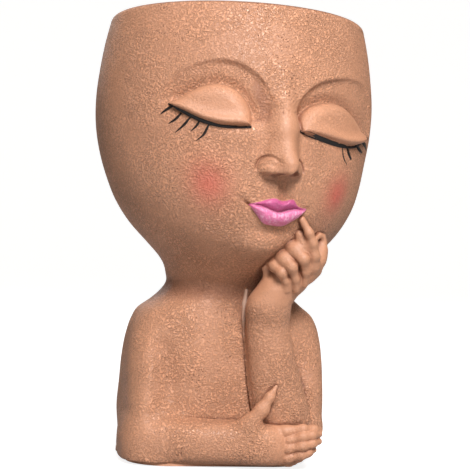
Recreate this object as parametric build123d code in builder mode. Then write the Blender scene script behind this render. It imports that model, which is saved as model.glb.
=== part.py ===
# Head planter: a cast-resin pot in the shape of a bust with folded and raised arms.
# Millimetres. +Z is up, the face looks towards -Y, and the figure's left hand is on +X.
# The origin is on the surface it stands on, under the middle of the foot.
import os
from math import ceil, cos, pi, radians, sin

from build123d import *

os.makedirs("parts", exist_ok=True)

# Overall sizes
rim_height = 200
neck_height = 81
head_radius = 63.6
neck_radius = 27.5
chin_forward = 9
torso_width = 91
chest_depth = 27
back_depth = 29.5
face_turn = 7

# Walls of the casting
head_wall = 6
torso_wall = 5
bowl_floor_height = 88
bowl_floor_thickness = 8
rim_round = 2

# Foot of the casting, its closing plate and the pads under it
pad_proud = 0.5
pad_depth = 1
pad_radius = 5
pad_clearance = 0.1
pad_edge_distance = 11
plate_thickness = 2
plate_right_side = 45.5
plate_left_side = 33
plate_front = 32
plate_back = 28.5
plate_corner = 16

# Drain
tube_radius = 8
tube_bore = 6
tube_flange_radius = 13
tube_flange_thickness = 2
tube_clearance = 0.1
plug_clearance = 0.3
plug_flange_radius = 8.2
plug_flange_thickness = 1.6
plug_stem_length = 9
plug_lead = 0.6
plug_grip_width = 2
plug_grip_radius = 4.5
plug_grip_depth = 5
plate_hole_clearance = 0.8

# Screen over the drain
screen_radius = 19
screen_thickness = 1.2
screen_hole_radius = 1
screen_hole_pitch = 3.4
screen_rim = 2.5
screen_gap = 0.05

# Arms and hands
upper_arm_width = 20
upper_arm_depth = 27
forearm_radius = 13.2
wrist_radius = 9.6
folded_forearm_radius = 8.6
finger_radius = 3.1
fingertip_radius = 2.1
hand_length = 30
hand_azimuth = 12
chin_front_height = 96
elbow_height = 5.5
folded_arm_height = 9.5
elbow_across_share = 0.57
elbow_ahead_share = 0.89
folded_finger_radius = 2.7
folded_fingertip_radius = 2

# Face
nose_length = 21
nose_radius = 4.6
nose_proud = 9
nose_bridge_radius = 3
nostril_wing_radius = 3.6
lid_width = 38
lid_height = 20
lid_proud = 3.4
lid_height_on_head = 152
lip_width = 26
lip_height = 6.4
lip_proud = 3
mouth_height = 112

cut_overrun = 1

# Levels and widths that follow from these
plate_bottom = pad_proud
plate_top = plate_bottom + plate_thickness
torso_half_width = torso_width / 2
head_height = rim_height - neck_height
torso_height = neck_height - plate_top
hollow_top = bowl_floor_height - bowl_floor_thickness
turn = radians(face_turn)

# Head sections from neck to rim: height, growth from neck to widest radius, forward shift
head_shares = (
    (0.000, 0.000, 0.00), (0.025, 0.036, 0.30), (0.059, 0.095, 0.66), (0.084, 0.160, 0.88),
    (0.126, 0.294, 1.00), (0.160, 0.405, 1.00), (0.202, 0.532, 0.88), (0.244, 0.634, 0.76),
    (0.303, 0.745, 0.60), (0.378, 0.839, 0.38), (0.471, 0.922, 0.10), (0.580, 0.986, 0.00),
    (0.689, 1.000, 0.00), (0.798, 0.967, 0.00), (0.899, 0.915, 0.00), (1.000, 0.839, 0.00),
)

# Torso sections from foot to neck: height, half width, shift across, half depth and
# squareness, where 2 is an ellipse. The foot is drawn in under the elbow on the figure's left.
torso_shares = (
    (0.000, 0.865, -0.130, 0.960, 3.2), (0.096, 0.982, -0.055, 1.000, 3.2), (0.248, 1.000, -0.033, 1.000, 3.2),
    (0.401, 0.990, -0.030, 1.000, 3.2), (0.554, 0.985, -0.020, 0.995, 3.2), (0.682, 0.965, -0.008, 0.985, 3.1),
    (0.771, 0.930, 0.000, 0.965, 2.9), (0.834, 0.870, 0.000, 0.950, 2.7), (0.885, 0.755, 0.000, 0.945, 2.4),
    (0.936, 0.662, 0.000, 0.950, 2.15),
)

# Upper arm sections: height on the torso, place across and towards the front, width and depth
right_arm_shares = (
    (0.000, -0.802, 0.63, 0.84, 0.86), (0.120, -0.804, 0.70, 1.00, 0.98), (0.274, -0.800, 0.63, 1.00, 1.00),
    (0.427, -0.790, 0.50, 1.00, 1.02), (0.580, -0.770, 0.37, 0.98, 1.05), (0.707, -0.725, 0.26, 0.95, 1.05),
    (0.809, -0.648, 0.19, 0.85, 0.95), (0.873, -0.571, 0.17, 0.60, 0.75),
)
left_arm_shares = (
    (0.000, 0.550, 0.56, 0.60, 0.70), (0.120, 0.714, 0.67, 0.96, 0.98), (0.274, 0.732, 0.63, 1.00, 1.00),
    (0.427, 0.743, 0.52, 1.00, 1.02), (0.580, 0.743, 0.39, 0.98, 1.05), (0.707, 0.715, 0.26, 0.95, 1.05),
    (0.809, 0.648, 0.19, 0.85, 0.95), (0.873, 0.571, 0.17, 0.60, 0.75),
)


def between(low, high, share):
    return low + share * (high - low)


def head_profile(height):
    """Radius and forward shift of the head at a height, between the two nearest sections."""
    level = (height - neck_height) / head_height
    for lower, upper in zip(head_shares, head_shares[1:]):
        if level <= upper[0]:
            step = (level - lower[0]) / (upper[0] - lower[0])
            growth = between(lower[1], upper[1], step)
            forward = between(lower[2], upper[2], step)
            return between(neck_radius, head_radius, growth), chin_forward * forward
    return between(neck_radius, head_radius, head_shares[-1][1]), 0


def face_axis(height):
    """Middle of the head's section at a height."""
    forward = head_profile(height)[1]
    return Vector(forward * sin(turn), axis_back - forward * cos(turn), height)


# The head's axis stands back from the origin, which is under the middle of nose and back of head
nose_tip_height = mouth_height + nose_length
nose_reach = (sum(head_profile(nose_tip_height)) + nose_proud) * cos(turn)
axis_back = (nose_reach - head_radius) / 2
ground = Plane((0, axis_back, 0))


def head_section(height, inset):
    with BuildSketch(Plane(face_axis(height))) as section:
        Circle(head_profile(height)[0] - inset)
    return section.sketch


def face_place(azimuth, height, lift=0):
    """Point on the head, azimuth degrees towards the figure's left of the face's middle."""
    radius, forward = head_profile(height)
    angle = turn + radians(azimuth)
    across = forward * sin(turn) + (radius + lift) * sin(angle)
    ahead = forward * cos(turn) + (radius + lift) * cos(angle)
    return Vector(across, axis_back - ahead, height)


def torso_section(height, width_share, shift_share, depth_share, squareness, inset):
    """Rounded, squarish outline through points of one formula."""
    half_width = torso_half_width * width_share - inset
    shift = torso_half_width * shift_share
    middle = (back_depth - chest_depth) / 2
    half_depth = (back_depth + chest_depth) / 2 * depth_share - inset
    power = 2 / squareness
    count = 24
    points = []
    for index in range(count):
        angle = 2 * pi * index / count
        across = abs(cos(angle)) ** power * (1 if cos(angle) > 0 else -1)
        ahead = abs(sin(angle)) ** power * (1 if sin(angle) > 0 else -1)
        points.append((shift + half_width * across, middle + half_depth * ahead))
    with BuildSketch(ground.offset(height)) as section:
        with BuildLine():
            Spline(points, periodic=True)
        make_face()
    return section.sketch


def limb(points, radii):
    """Rounded limb: a ball at each point and a cone from each to the next."""
    with BuildPart() as piece:
        for point, radius in zip(points, radii):
            with Locations(point):
                Sphere(radius)
        for start, end, first, last in zip(points, points[1:], radii, radii[1:]):
            along = Vector(*end) - Vector(*start)
            foot = Plane(origin=start, z_dir=along)
            with BuildSketch(foot):
                Circle(first)
            with BuildSketch(foot.offset(along.length)):
                Circle(last)
            loft()
    return piece.part


def spheroid(place, across, half_length, half_thickness):
    """Long round lump lying along a direction, such as an eyelid or a lip."""
    lying = Plane(origin=place, x_dir=across, z_dir=Vector(0, 0, 1))
    with BuildPart() as lump:
        with BuildSketch(lying):
            Ellipse(half_length, half_thickness)
            with Locations((0, -half_thickness)):
                Rectangle(2 * half_length, 2 * half_thickness, mode=Mode.SUBTRACT)
        revolve(axis=Axis(place, across))
    return lump.part


def tangent(azimuth):
    angle = turn + radians(azimuth)
    return Vector(cos(angle), sin(angle), 0)


# Face features, each sunk into the head so that only its crown stands out
def eyelid(azimuth, height):
    sink = lid_height / 2 - lid_proud
    return spheroid(face_place(azimuth, height, -sink), tangent(azimuth), lid_width / 2, lid_height / 2)


def lip(rise_share, width_share, thickness_share):
    half = lip_height / 2 * thickness_share
    place = face_place(lip_azimuth, mouth_height + lip_height * rise_share, lip_proud - half)
    return spheroid(place, tangent(lip_azimuth), lip_width / 2 * width_share, half)


right_lid_azimuth = -29.5
left_lid_azimuth = 27.5
lip_azimuth = 1.5
nose_azimuth = -0.5
wing_azimuth = 6.2
lid_tilt_drop = 4.5
upper_lip_shares = (0.30, 1.00, 1.00)
lower_lip_shares = (-0.40, 0.80, 1.25)
nostril_drop_share = 0.7
nose_bridge_height = nose_tip_height + nose_length
nose_wing_height = nose_tip_height - nose_radius * nostril_drop_share
nose_tip = face_place(nose_azimuth, nose_tip_height, nose_proud - nose_radius)
nose_bridge = face_place(nose_azimuth, nose_bridge_height, -nose_bridge_radius / 2)
nose_septum = face_place(nose_azimuth, nose_wing_height)

with BuildPart() as nose:
    add(limb((nose_bridge, nose_tip), (nose_bridge_radius, nose_radius)))
    add(limb((nose_septum, nose_tip), (nostril_wing_radius, nose_radius)))
    for side in (-1, 1):
        wing = face_place(nose_azimuth + side * wing_azimuth, nose_wing_height, nostril_wing_radius / 2)
        add(limb((wing, nose_tip), (nostril_wing_radius, nostril_wing_radius)))

# Casting: torso and neck, head, upper arms and face, then the two hollows and the drain's bore
torso_levels = [(plate_top + torso_height * level, *rest) for level, *rest in torso_shares]
torso_levels.append((neck_height, neck_radius / torso_half_width, 0,
                     2 * neck_radius / (back_depth + chest_depth), 2))
head_levels = [neck_height + head_height * level for level, *rest in head_shares]

with BuildPart() as torso:
    for level in torso_levels:
        add(torso_section(*level, 0))
    loft()


def upper_arm(shares):
    with BuildPart() as arm:
        for level, across, ahead, width_share, depth_share in shares:
            with BuildSketch(ground.offset(plate_top + torso_height * level)):
                with Locations((across * torso_half_width, -ahead * chest_depth)):
                    Ellipse(upper_arm_width / 2 * width_share, upper_arm_depth / 2 * depth_share)
        loft()
    return arm.part


with BuildPart() as head:
    for height in head_levels:
        add(head_section(height, 0))
    loft()

with BuildPart() as bowl:
    add(head_section(bowl_floor_height, head_wall))
    for height in head_levels:
        if bowl_floor_height < height < rim_height:
            add(head_section(height, head_wall))
    add(head_section(rim_height + cut_overrun, head_wall))
    loft()

with BuildPart() as chest_hollow:
    add(torso_section(plate_top - cut_overrun, *torso_shares[0][1:], torso_wall))
    for level in torso_levels[1:]:
        if level[0] < hollow_top:
            add(torso_section(*level, torso_wall))
    add(torso_section(hollow_top, *torso_levels[-1][1:], torso_wall))
    loft()

with BuildPart() as casting_outside:
    add(torso.part)
    add(head.part)
    add(upper_arm(right_arm_shares))
    add(upper_arm(left_arm_shares))
    add(nose.part)
    add(eyelid(right_lid_azimuth, lid_height_on_head))
    add(eyelid(left_lid_azimuth, lid_height_on_head - lid_tilt_drop))
    add(lip(*upper_lip_shares))
    add(lip(*lower_lip_shares))

with BuildPart() as planter_body:
    add(casting_outside.part)
    add(bowl.part, mode=Mode.SUBTRACT)
    add(chest_hollow.part, mode=Mode.SUBTRACT)
    with BuildSketch(ground.offset(hollow_top - cut_overrun)):
        Circle(tube_radius + tube_clearance)
    extrude(amount=bowl_floor_thickness + 2 * cut_overrun, mode=Mode.SUBTRACT)
    rim_edges = planter_body.faces().sort_by(Axis.Z)[-1].edges()
    fillet(rim_edges, rim_round)
planter_body.part.label = "planter_body"
export_step(planter_body.part, "parts/planter_body.step")

# Raised forearm: sections from the elbow at the foot up to the wrist, then palm and fingers.
# Each section holds height, place across and forward, growth from wrist to forearm, flatness.
forearm_shares = (
    (-0.070, -0.02, -0.10, -0.40, 0.80), (0.000, 0.00, 0.00, 0.67, 0.79), (0.116, 0.11, 0.18, 1.00, 0.76),
    (0.260, 0.31, 0.35, 1.00, 0.76), (0.464, 0.56, 0.50, 0.67, 0.79), (0.680, 0.78, 0.62, 0.28, 0.85),
    (0.840, 0.92, 0.74, 0.05, 0.87), (1.000, 1.00, 1.00, 0.00, 0.88),
)
hand_anchor = face_place(hand_azimuth, chin_front_height)
elbow_place = Vector(elbow_across_share * torso_half_width, axis_back - elbow_ahead_share * chest_depth,
                     plate_top + elbow_height)


def hand_point(across, ahead, up):
    return hand_anchor + Vector(across, ahead, up) * hand_length


# Places in the raised hand, as shares of its length from the point where it meets the chin
palm_place_shares = ((-0.15, 0.13, -0.63), (0.02, -0.13, -0.33), (0.20, -0.20, -0.20))
palm_radius_shares = (0.86, 0.86, 0.72)
finger_place_shares = {
    "index": ((0.33, -0.34, -0.10), (0.29, -0.42, 0.22), (0.15, -0.34, 0.47)),
    "middle": ((0.32, -0.28, -0.34), (0.25, -0.44, -0.08), (0.00, -0.46, 0.14)),
    "ring": ((0.18, -0.23, -0.50), (0.07, -0.45, -0.20), (-0.22, -0.38, -0.05)),
    "little": ((0.05, -0.18, -0.56), (-0.05, -0.40, -0.28), (-0.28, -0.33, -0.20)),
    "thumb": ((0.38, -0.10, -0.30), (0.52, -0.12, -0.02), (0.49, -0.10, 0.25)),
}
finger_radii = (finger_radius, finger_radius, fingertip_radius)
wrist_place = hand_point(*palm_place_shares[0])

with BuildPart() as raised_forearm:
    for level, across, ahead, growth, flatness in forearm_shares:
        width = between(wrist_radius, forearm_radius, growth)
        height = between(elbow_place.Z, wrist_place.Z, level)
        middle = Vector(between(elbow_place.X, wrist_place.X, across),
                        between(elbow_place.Y, wrist_place.Y, ahead), height)
        with BuildSketch(Plane(middle)):
            Ellipse(width, width * flatness)
    loft()
    add(limb([hand_point(*place) for place in palm_place_shares],
             [wrist_radius * share for share in palm_radius_shares]))
    for places in finger_place_shares.values():
        add(limb([hand_point(*place) for place in places], finger_radii))
    add(casting_outside.part, mode=Mode.SUBTRACT)
raised_forearm.part.label = "raised_forearm"
export_step(raised_forearm.part, "parts/raised_forearm.step")

# Folded forearm: upright sections from the figure's right elbow across the foot to the other one.
# Each section holds place across, place forward, height, depth and height of the ellipse.
folded_shares = (
    (-0.800, 0.86, 1.00, 0.95, 0.95), (-0.550, 1.02, 1.02, 1.00, 1.00), (-0.300, 1.12, 1.00, 0.99, 0.98),
    (-0.050, 1.20, 1.00, 0.93, 0.95), (0.150, 1.29, 1.00, 0.80, 0.95), (0.330, 1.37, 1.00, 0.66, 0.98),
    (0.480, 1.42, 1.00, 0.54, 1.00), (0.600, 1.42, 0.98, 0.38, 0.90),
)
# Places in the folded hand: across the torso, forward of its axis and up from the plate
folded_finger_shares = (
    ((0.52, 1.47, 1.50), (0.73, 1.42, 1.46), (0.86, 1.11, 1.38)),
    ((0.52, 1.49, 1.10), (0.73, 1.44, 1.07), (0.86, 1.12, 0.98)),
    ((0.52, 1.48, 0.70), (0.70, 1.42, 0.68), (0.80, 1.16, 0.60)),
    ((0.50, 1.45, 0.36), (0.61, 1.38, 0.32), (0.68, 1.22, 0.30)),
)
folded_thumb_shares = ((0.24, 1.44, 1.50), (0.31, 1.56, 2.20), (0.36, 1.62, 3.00))


def foot_point(across, ahead, up):
    return Vector(across * torso_half_width, axis_back - ahead * chest_depth,
                  plate_top + up * folded_arm_height)


with BuildPart() as folded_forearm:
    for across, ahead, up, depth_share, height_share in folded_shares:
        middle = foot_point(across, ahead, up)
        with BuildSketch(Plane.YZ.offset(middle.X)):
            with Locations((middle.Y, middle.Z)):
                Ellipse(folded_forearm_radius * depth_share, folded_forearm_radius * height_share)
    loft()
    for places in folded_finger_shares:
        add(limb([foot_point(*place) for place in places],
                 (folded_finger_radius, folded_finger_radius, folded_fingertip_radius)))
    add(limb([foot_point(*place) for place in folded_thumb_shares],
             (finger_radius, folded_finger_radius, folded_fingertip_radius)))
    add(casting_outside.part, mode=Mode.SUBTRACT)
    add(raised_forearm.part, mode=Mode.SUBTRACT)
folded_forearm.part.label = "folded_forearm"
export_step(folded_forearm.part, "parts/folded_forearm.step")

# Base plate: closes the chest, with a hole round the plug and four pockets for the pads
pad_places = [
    (x, y)
    for x in (-plate_right_side + pad_edge_distance, plate_left_side - pad_edge_distance)
    for y in (-plate_front + pad_edge_distance, plate_back - pad_edge_distance)
]
plate_middle = ((plate_left_side - plate_right_side) / 2, (plate_back - plate_front) / 2)

with BuildPart() as base_plate:
    with BuildSketch(ground.offset(plate_bottom)):
        with Locations(plate_middle):
            RectangleRounded(plate_right_side + plate_left_side, plate_front + plate_back, plate_corner)
        Circle(plug_flange_radius + plate_hole_clearance, mode=Mode.SUBTRACT)
    extrude(amount=plate_thickness)
    with BuildSketch(ground.offset(plate_bottom)):
        with Locations(pad_places):
            Circle(pad_radius + pad_clearance)
    extrude(amount=pad_depth, mode=Mode.SUBTRACT)
base_plate.part.label = "base_plate"
export_step(base_plate.part, "parts/base_plate.step")

for number, place in enumerate(pad_places, start=1):
    with BuildPart() as foot_pad:
        with BuildSketch(ground):
            with Locations(place):
                Circle(pad_radius)
        extrude(amount=pad_proud + pad_depth)
    foot_pad.part.label = f"foot_pad_{number}"
    export_step(foot_pad.part, f"parts/foot_pad_{number}.step")

# Drain tube: stands with its flange on the base plate and ends level with the bowl's floor
with BuildPart() as drain_tube:
    with BuildSketch(ground.offset(plate_top)):
        Circle(tube_flange_radius)
    extrude(amount=tube_flange_thickness)
    with BuildSketch(ground.offset(plate_top)):
        Circle(tube_radius)
    extrude(amount=bowl_floor_height - plate_top)
    with BuildSketch(ground.offset(plate_top)):
        Circle(tube_bore)
    extrude(amount=bowl_floor_height - plate_top, mode=Mode.SUBTRACT)
drain_tube.part.label = "drain_tube"
export_step(drain_tube.part, "parts/drain_tube.step")

# Drain plug: stem up the bore, flange in the plate's hole, and a bar across its hollow to pull it by
plug_stem_radius = tube_bore - plug_clearance
with BuildPart() as drain_plug:
    with BuildSketch(ground.offset(plate_top - plug_flange_thickness)):
        Circle(plug_flange_radius)
    extrude(amount=plug_flange_thickness)
    with BuildSketch(ground.offset(plate_top)):
        Circle(plug_stem_radius)
    extrude(amount=plug_stem_length)
    chamfer(drain_plug.faces().sort_by(Axis.Z)[-1].edges(), plug_lead)
    with BuildSketch(ground.offset(plate_top - plug_flange_thickness)):
        Circle(plug_grip_radius)
        Rectangle(2 * plug_grip_radius, plug_grip_width, mode=Mode.SUBTRACT)
    extrude(amount=plug_grip_depth, mode=Mode.SUBTRACT)
drain_plug.part.label = "drain_plug"
export_step(drain_plug.part, "parts/drain_plug.step")

# Drain screen: loose disc on the bowl's floor, holed all over inside its plain rim
hole_field = screen_radius - screen_rim - screen_hole_radius
hole_reach = ceil(hole_field / screen_hole_pitch)
hole_places = [
    (column * screen_hole_pitch, row * screen_hole_pitch)
    for column in range(-hole_reach, hole_reach + 1)
    for row in range(-hole_reach, hole_reach + 1)
    if (column ** 2 + row ** 2) * screen_hole_pitch ** 2 <= hole_field ** 2
]

with BuildPart() as drain_screen:
    with BuildSketch(Plane(face_axis(bowl_floor_height)).offset(screen_gap)):
        Circle(screen_radius)
        with Locations(hole_places):
            Circle(screen_hole_radius, mode=Mode.SUBTRACT)
    extrude(amount=screen_thickness)
drain_screen.part.label = "drain_screen"
export_step(drain_screen.part, "parts/drain_screen.step")

for piece in (planter_body, raised_forearm, folded_forearm, base_plate, drain_tube, drain_plug, drain_screen):
    print(piece.part.label, len(piece.part.solids()), "solid,", round(piece.part.volume), "cubic mm")
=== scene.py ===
# %% [markdown]
# # A head planter, sculpted and painted over its measured solids
# The real pot is cast in resin from a sculpted model: a round head that is the bowl, a bust that
# closes on a base plate, and two forearms cast apart and bonded on. The frame holds its true sizes.
# This lesson keeps the hard pieces as they are and resculpts the castings over their solids.

from math import cos, pi, radians, sin

import bmesh
import bpy
import numpy as np
from mathutils import Matrix, Vector


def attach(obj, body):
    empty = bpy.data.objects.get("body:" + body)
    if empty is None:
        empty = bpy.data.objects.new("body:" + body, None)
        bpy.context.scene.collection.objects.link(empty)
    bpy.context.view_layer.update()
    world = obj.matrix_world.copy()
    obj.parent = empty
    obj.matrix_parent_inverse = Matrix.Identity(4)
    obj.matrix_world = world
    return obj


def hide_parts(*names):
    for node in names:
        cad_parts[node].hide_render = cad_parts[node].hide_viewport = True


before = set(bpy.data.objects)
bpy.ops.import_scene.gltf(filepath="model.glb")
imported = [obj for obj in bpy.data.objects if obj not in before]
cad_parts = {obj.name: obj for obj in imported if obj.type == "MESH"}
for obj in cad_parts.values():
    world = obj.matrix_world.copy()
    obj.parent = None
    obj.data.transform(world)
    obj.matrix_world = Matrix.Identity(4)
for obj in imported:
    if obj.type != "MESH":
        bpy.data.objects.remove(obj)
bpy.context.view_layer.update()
print("nodes:", ", ".join(sorted(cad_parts)))

# %% [markdown]
# ## The camera
# A telephoto lens about 60 cm away, level with the chin and a little to the figure's right, gives
# the photograph's flat perspective. The camera comes first, because every later choice is judged
# through it. A matrix built from three axes is surer than turning Euler angles by trial.

# %% Camera at the photograph's angle
mm = 0.001
axis_back = 3.19  # how far the head's axis lies behind the origin
picture_width = 470
camera_distance, camera_height = 600, 88
camera_azimuth, camera_roll = radians(-14), radians(2.7)
focal_pixels = 1294
centre_across, centre_down = -7.3, 32.5

towards_camera = Vector((sin(camera_azimuth), -cos(camera_azimuth), 0))
rightwards = Vector((cos(camera_azimuth), sin(camera_azimuth), 0))
upwards = Vector((0, 0, 1))
turn_matrix = Matrix((rightwards, upwards, towards_camera)).transposed().to_4x4()
roll_matrix = Matrix.Rotation(camera_roll, 4, "Z")
camera_place = towards_camera * camera_distance + Vector((0, axis_back, camera_height))


def add_object(name, data):
    """An object with its data, linked into the scene."""
    made = bpy.data.objects.new(name, data)
    bpy.context.scene.collection.objects.link(made)
    return made


camera_data = bpy.data.cameras.new("camera")
camera_data.sensor_width = 36
camera_data.lens = focal_pixels / picture_width * camera_data.sensor_width
shift_across = centre_across * cos(camera_roll) - centre_down * sin(camera_roll)
shift_down = centre_across * sin(camera_roll) + centre_down * cos(camera_roll)
camera_data.shift_x = -shift_across / picture_width
camera_data.shift_y = shift_down / picture_width
camera_data.clip_start = 0.01
camera = add_object("camera", camera_data)
camera.matrix_world = Matrix.Translation(camera_place * mm) @ turn_matrix @ roll_matrix
bpy.context.scene.camera = camera
print("lens", round(camera_data.lens, 1), "mm at", [round(v, 3) for v in camera.location])

# %% Points placed through the picture
def seen(column, row, depth):
    """Point on the line of sight through a pixel, at a depth in mm from the axis towards the camera."""
    across, down = column - picture_width / 2, row - picture_width / 2
    level_across = across * cos(camera_roll) + down * sin(camera_roll)
    level_down = -across * sin(camera_roll) + down * cos(camera_roll)
    sight = (rightwards * ((level_across - centre_across) / focal_pixels)
             + upwards * ((centre_down - level_down) / focal_pixels) - towards_camera)
    return np.array(camera_place + sight * (camera_distance - depth))


def seen_on(form, column, row, start=90.0):
    """Where the line of sight through a pixel first meets a form."""
    near, far = seen(column, row, start), seen(column, row, start - 1)
    step = (far - near) / np.linalg.norm(far - near)
    spot = near
    for _ in range(60):
        gap = float(form(spot[None])[0])
        spot = spot + step * gap * 0.9
        if abs(gap) < 0.01:
            break
    return spot

# %% [markdown]
# ## Forms as distances
# A sculptor presses clay onto an armature. Here the armature is a function: it gives, for any point,
# about how far outside the wanted surface that point lies, in millimetres. Balls, tapered limbs and
# stacks of ellipses are easy to write this way, and two of them melt together with a soft minimum,
# which gives the fillets that real casting has. Meshes from operators are then settled onto it.

# %% Smooth curves through given values
def smooth_curve(keys, values):
    """Function that runs smoothly through the values given at the keys."""
    keys = np.asarray(keys, float)
    values = np.asarray(values, float)
    slopes = np.gradient(values, keys, axis=0)

    def at(place):
        place = np.clip(place, keys[0], keys[-1])
        below = np.clip(np.searchsorted(keys, place) - 1, 0, len(keys) - 2)
        span = keys[below + 1] - keys[below]
        step = (place - keys[below]) / span
        if values.ndim > 1:
            span, step = span[:, None], step[:, None]
        rise = step * step * (3 - 2 * step)
        start_bend = step * (1 - step) ** 2 * span
        end_bend = -step * step * (1 - step) * span
        return (values[below] * (1 - rise) + values[below + 1] * rise
                + slopes[below] * start_bend + slopes[below + 1] * end_bend)

    return at


def ease(low, high, value):
    """Soft step from 0 at low to 1 at high."""
    step = np.clip((value - low) / (high - low), 0, 1)
    return step * step * (3 - 2 * step)


def bell(gap, width):
    """1 where the gap is 0, fading to nearly nothing at twice the width."""
    return np.exp(-np.square(gap / width))

# %% Ways to join and cut forms
def join(first, second, softness):
    """Soft minimum: two forms melt together with a fillet."""
    near = np.maximum(softness - np.abs(first - second), 0) / softness
    return np.minimum(first, second) - near * near * softness / 4


def cut(form, tool, softness):
    """The form with the tool's inside taken away, with a soft edge."""
    return -join(-form, tool, softness)


def tapered_limb(points, start, end, start_radius, end_radius):
    """Distance to a straight limb with round ends."""
    start, end = np.asarray(start, float), np.asarray(end, float)
    along = end - start
    share = np.clip((points - start) @ along / (along @ along), 0, 1)
    middle = start + share[:, None] * along
    return np.linalg.norm(points - middle, axis=1) - (start_radius + share * (end_radius - start_radius))


def chain(points, places, radii, softness):
    """Limbs one after another, such as the bones of a finger."""
    found = None
    for start, end, first, last in zip(places, places[1:], radii, radii[1:]):
        limb = tapered_limb(points, start, end, first, last)
        found = limb if found is None else join(found, limb, softness)
    return found


def lump(points, middle, radii):
    """Distance to a round lump with its own radius along each axis."""
    radii = np.asarray(radii, float)
    offset = points - np.asarray(middle, float)
    scaled = np.linalg.norm(offset / radii, axis=1) + 1e-9
    steepness = np.linalg.norm(offset / radii ** 2, axis=1) + 1e-9
    return scaled * (scaled - 1) / steepness


def stack(points, axis, levels, middles, radii, squareness=2.0):
    """Distance to ellipses stacked along an axis: middles and radii are smooth curves of the level."""
    level = points[:, axis]
    others = [index for index in range(3) if index != axis]
    offset = points[:, others] - middles(level)
    radius = radii(level)
    reach = np.linalg.norm(offset, axis=1) + 1e-9
    scaled = (np.abs(offset / radius) ** squareness).sum(axis=1) ** (1 / squareness) + 1e-9
    beside = reach * (1 - 1 / scaled)
    beyond = np.maximum(np.maximum(levels[0] - level, level - levels[-1]), 0)
    return np.minimum(beside, 0) + np.hypot(np.maximum(beside, 0), beyond)

# %% [markdown]
# ## The head and bust
# Seen from above, every level of the pot is a rounded outline: squarish through the chest, round
# from the neck up. One table of shares, chosen against the photograph, gives those outlines
# from the foot to the rim, so head, neck and shoulders flow into each other without a seam.

# %% Outlines from foot to rim
rim_height, neck_height, plate_top = 200.0, 81.0, 2.5
foot_edge = 1.3  # where the casting's rounded lower edge starts
head_radius, neck_radius, chin_forward = 63.6, 27.5, 9.0
torso_half_width, torso_half_depth, torso_back = 45.5, 28.25, 1.25
chest_depth = 27.0
face_turn = radians(7)

torso_shares = (  # height, half width, shift across, half depth, squareness
    (0, 0.873, -0.13, 0.974, 3.2), (0.096, 0.96, -0.048, 1, 3.2), (0.248, 1, -0.033, 1, 3.2),
    (0.401, 0.99, -0.03, 1, 3.2), (0.554, 0.985, -0.02, 0.995, 3.2), (0.682, 0.965, -0.008, 0.985, 3.1),
    (0.771, 0.93, 0, 0.965, 2.9), (0.834, 0.87, 0, 0.95, 2.7), (0.885, 0.755, 0, 0.945, 2.4),
    (0.936, 0.662, 0, 0.95, 2.15),
)
head_shares = (  # height, growth from neck to widest radius, forward shift
    (0, 0, 0), (0.025, 0.036, 0.3), (0.059, 0.095, 0.66), (0.084, 0.16, 0.88), (0.126, 0.294, 1),
    (0.16, 0.405, 1), (0.202, 0.532, 0.88), (0.244, 0.634, 0.76), (0.303, 0.745, 0.6),
    (0.378, 0.839, 0.38), (0.471, 0.922, 0.1), (0.58, 0.986, 0), (0.689, 1, 0), (0.798, 0.967, 0),
    (0.899, 0.915, 0), (1, 0.839, 0),
)
torso_height = neck_height - plate_top
head_height = rim_height - neck_height
outline_rows = []
for height, width, shift, depth, squareness in torso_shares:
    outline_rows.append((plate_top + torso_height * height, torso_half_width * width,
                         torso_half_depth * depth, torso_half_width * shift,
                         axis_back + torso_back, squareness))
for height, growth, forward in head_shares:
    radius = neck_radius + growth * (head_radius - neck_radius)
    outline_rows.append((neck_height + head_height * height, radius, radius,
                         chin_forward * forward * sin(face_turn),
                         axis_back - chin_forward * forward * cos(face_turn), 2.0))
outline_rows = np.array(outline_rows)
outline = smooth_curve(outline_rows[:, 0], outline_rows[:, 1:])
lean_slopes = np.gradient(outline_rows[:, 1], outline_rows[:, 0])
lean = smooth_curve(outline_rows[:, 0], 1 / np.hypot(1, lean_slopes))
print("outlines:", len(outline_rows), "levels, widest", outline_rows[:, 1].max(), "mm")


def outline_reach(angle, rows):
    """Distance from an outline's middle to its edge, at an angle from +X."""
    return ((np.abs(np.cos(angle)) / rows[:, 0]) ** rows[:, 4]
            + (np.abs(np.sin(angle)) / rows[:, 1]) ** rows[:, 4]) ** (-1 / rows[:, 4])


def bust(points):
    """Head, neck and torso without arms or face."""
    rows = outline(points[:, 2])
    offset = points[:, :2] - rows[:, 2:4]
    reach = np.hypot(offset[:, 0], offset[:, 1]) + 1e-9
    edge = outline_reach(np.arctan2(offset[:, 1], offset[:, 0]), rows)
    return (reach - edge) * lean(points[:, 2])

# %% Upper arms
upper_arm_width, upper_arm_depth = 20.0, 27.0
arm_softness = 3.5
right_arm_shares = (  # height, across, towards the front, width, depth
    (0, -0.802, 0.7, 0.93, 0.96), (0.12, -0.804, 0.7, 1, 0.99), (0.274, -0.8, 0.63, 1, 1),
    (0.427, -0.79, 0.5, 1, 1.02), (0.58, -0.77, 0.37, 0.98, 1.05), (0.707, -0.725, 0.26, 0.95, 1.05),
    (0.809, -0.648, 0.19, 0.85, 0.95), (0.873, -0.571, 0.17, 0.6, 0.75),
)
left_arm_shares = (  # the same columns
    (0, 0.55, 0.56, 0.6, 0.7), (0.12, 0.714, 0.67, 0.96, 0.98), (0.274, 0.732, 0.63, 1, 1),
    (0.427, 0.743, 0.52, 1, 1.02), (0.58, 0.743, 0.39, 0.98, 1.05), (0.707, 0.715, 0.26, 0.95, 1.05),
    (0.809, 0.648, 0.19, 0.85, 0.95), (0.873, 0.571, 0.17, 0.6, 0.75),
)


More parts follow.
